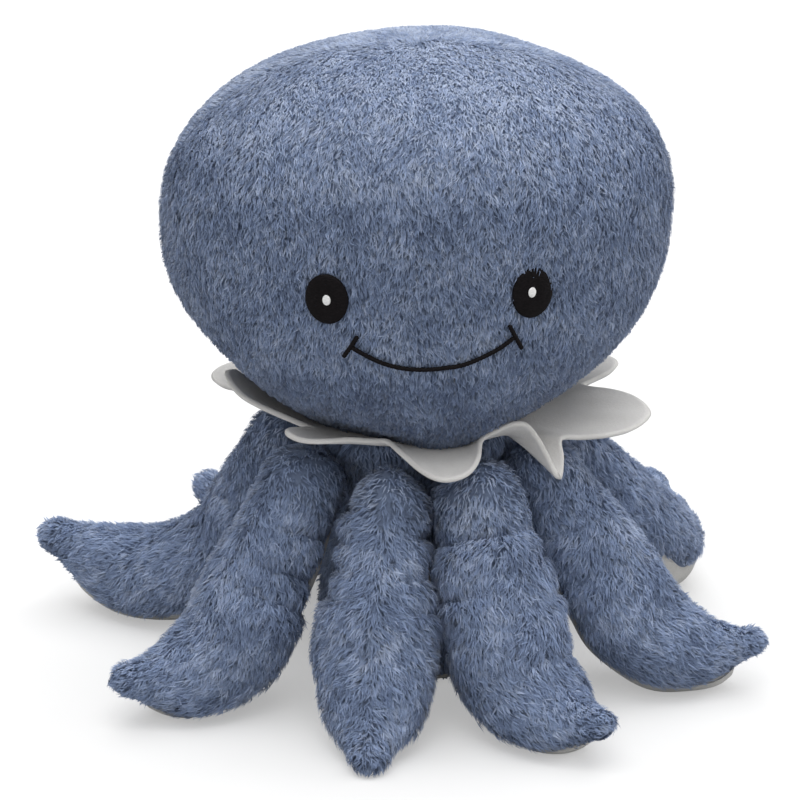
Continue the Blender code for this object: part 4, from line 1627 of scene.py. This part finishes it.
@dataclass
class Stage:
    """Floor, sky, lamps and camera."""

    eye: tuple[float, float, float] = (0.0, -1.1276, 0.5204)
    elevation: float = 20.0
    focal: float = 3561.0
    aim: tuple[float, float] = (16.0, 52.0)
    picture: float = 800.0
    sky_strength: float = 0.34
    floor_glow: float = 0.38
    lamps: tuple[tuple[str, float, float, float, float], ...] = (
        ("overhead_softbox", -10.0, 0.0, 1.06, 76.0),
        ("front_softbox", 44.0, -6.0, 0.31, 44.0),
        ("right_softbox", -14.0, 68.0, 0.30, 40.0),
    )

    def floor(self) -> None:
        """A wide pale floor, which glows for the camera alone until it is white outside the shadows."""
        across = np.linspace(-4.0, 4.0, 3)
        x, y = lattice(across, across)
        draft = Draft("floor")
        draft.add(np.stack((x, y, 0.0 * x), axis=-1), [grid_faces(3, 3, False)], 0.5, 1.0, np.zeros((9, 2)))
        nodes = Nodes("pale_floor")
        grain = nodes.ramp(nodes.noise(6.0, 2.0), ((0.3, (0.44, 0.44, 0.44)), (0.7, (0.46, 0.46, 0.46))))
        nodes.link(grain, nodes.shader.inputs["Base Color"])
        nodes.shader.inputs["Emission Color"].default_value = (1.0, 1.0, 1.0, 1.0)
        seen = nodes.node("ShaderNodeLightPath").outputs["Is Camera Ray"]
        nodes.link(nodes.maths("MULTIPLY", seen, self.floor_glow), nodes.shader.inputs["Emission Strength"])
        nodes.constants(specular=0.1, roughness=0.9)
        draft.build(nodes.material)

    def sky(self) -> None:
        """An even white world, which the camera sees as plain white."""
        world = bpy.data.worlds.new("white_room")
        world.use_nodes = True
        tree = world.node_tree
        light = tree.nodes["Background"]
        light.inputs["Color"].default_value = (1.0, 1.0, 1.0, 1.0)
        light.inputs["Strength"].default_value = self.sky_strength
        seen = tree.nodes.new("ShaderNodeBackground")
        seen.inputs["Color"].default_value = (1.0, 1.0, 1.0, 1.0)
        path = tree.nodes.new("ShaderNodeLightPath")
        choice = tree.nodes.new("ShaderNodeMixShader")
        tree.links.new(path.outputs["Is Camera Ray"], choice.inputs["Fac"])
        tree.links.new(light.outputs[0], choice.inputs[1])
        tree.links.new(seen.outputs[0], choice.inputs[2])
        tree.links.new(choice.outputs[0], tree.nodes["World Output"].inputs["Surface"])
        bpy.context.scene.world = world

    def softbox(self, name: str, from_front: float, from_right: float, share: float, spread: float) -> None:
        """A distant round light above the toy.

        Args:
            name: The lamp's name.
            from_front: Degrees from straight above towards the front.
            from_right: Degrees from straight above towards the right.
            share: How much of a white floor's full brightness it gives.
            spread: Degrees across the light, as the toy sees it.
        """
        data = bpy.data.lights.new(name, "SUN")
        data.energy = share * math.pi
        data.angle = math.radians(spread)
        lamp = bpy.data.objects.new(name, data)
        lamp.location = (0.0, 0.0, 1.5)
        lamp.rotation_euler = (math.radians(from_front), math.radians(from_right), 0.0)
        bpy.context.scene.collection.objects.link(lamp)

    def camera(self) -> None:
        """The photograph's camera, aimed a little below and left of the toy's middle, as the frame has it."""
        slope = math.radians(self.elevation)
        forwards = Vector((0.0, math.cos(slope), -math.sin(slope)))
        upwards = Vector((0.0, math.sin(slope), math.cos(slope)))
        left, down = self.aim
        way = forwards - Vector((1.0, 0.0, 0.0)) * (left / self.focal) - upwards * (down / self.focal)
        data = bpy.data.cameras.new("photo_camera")
        data.sensor_width = 36.0
        data.lens = 36.0 * self.focal / self.picture
        camera = bpy.data.objects.new("photo_camera", data)
        camera.location = self.eye
        camera.rotation_euler = way.to_track_quat("-Z", "Y").to_euler()
        bpy.context.scene.collection.objects.link(camera)
        bpy.context.scene.camera = camera

    def build(self) -> None:
        """Sets the whole stage."""
        bpy.context.scene.view_settings.view_transform = "Standard"
        self.camera()
        self.floor()
        self.sky()
        for lamp in self.lamps:
            self.softbox(*lamp)


def main() -> None:
    """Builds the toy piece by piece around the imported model, and its stage."""
    logging.basicConfig(level=logging.INFO, format="%(name)s: %(message)s")
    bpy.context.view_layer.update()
    Stage().build()
    finishes = Finishes.make()
    form = HeadForm()
    face = Face(form)
    bare = tuple((*at, face.eye_half_width, face.eye_half_tall) for at in face.eye_places)
    Torso().build(finishes)
    for number, pose in enumerate(ARM_POSES):
        Arm(pose, 400 + 20 * number).build(finishes)
    Collar().build(finishes)
    smile = np.concatenate((face.path(), *face.tick_paths(20)))
    Head(form, bare, smile).build(finishes)
    face.build(finishes)


if __name__ == "__main__":
    main()
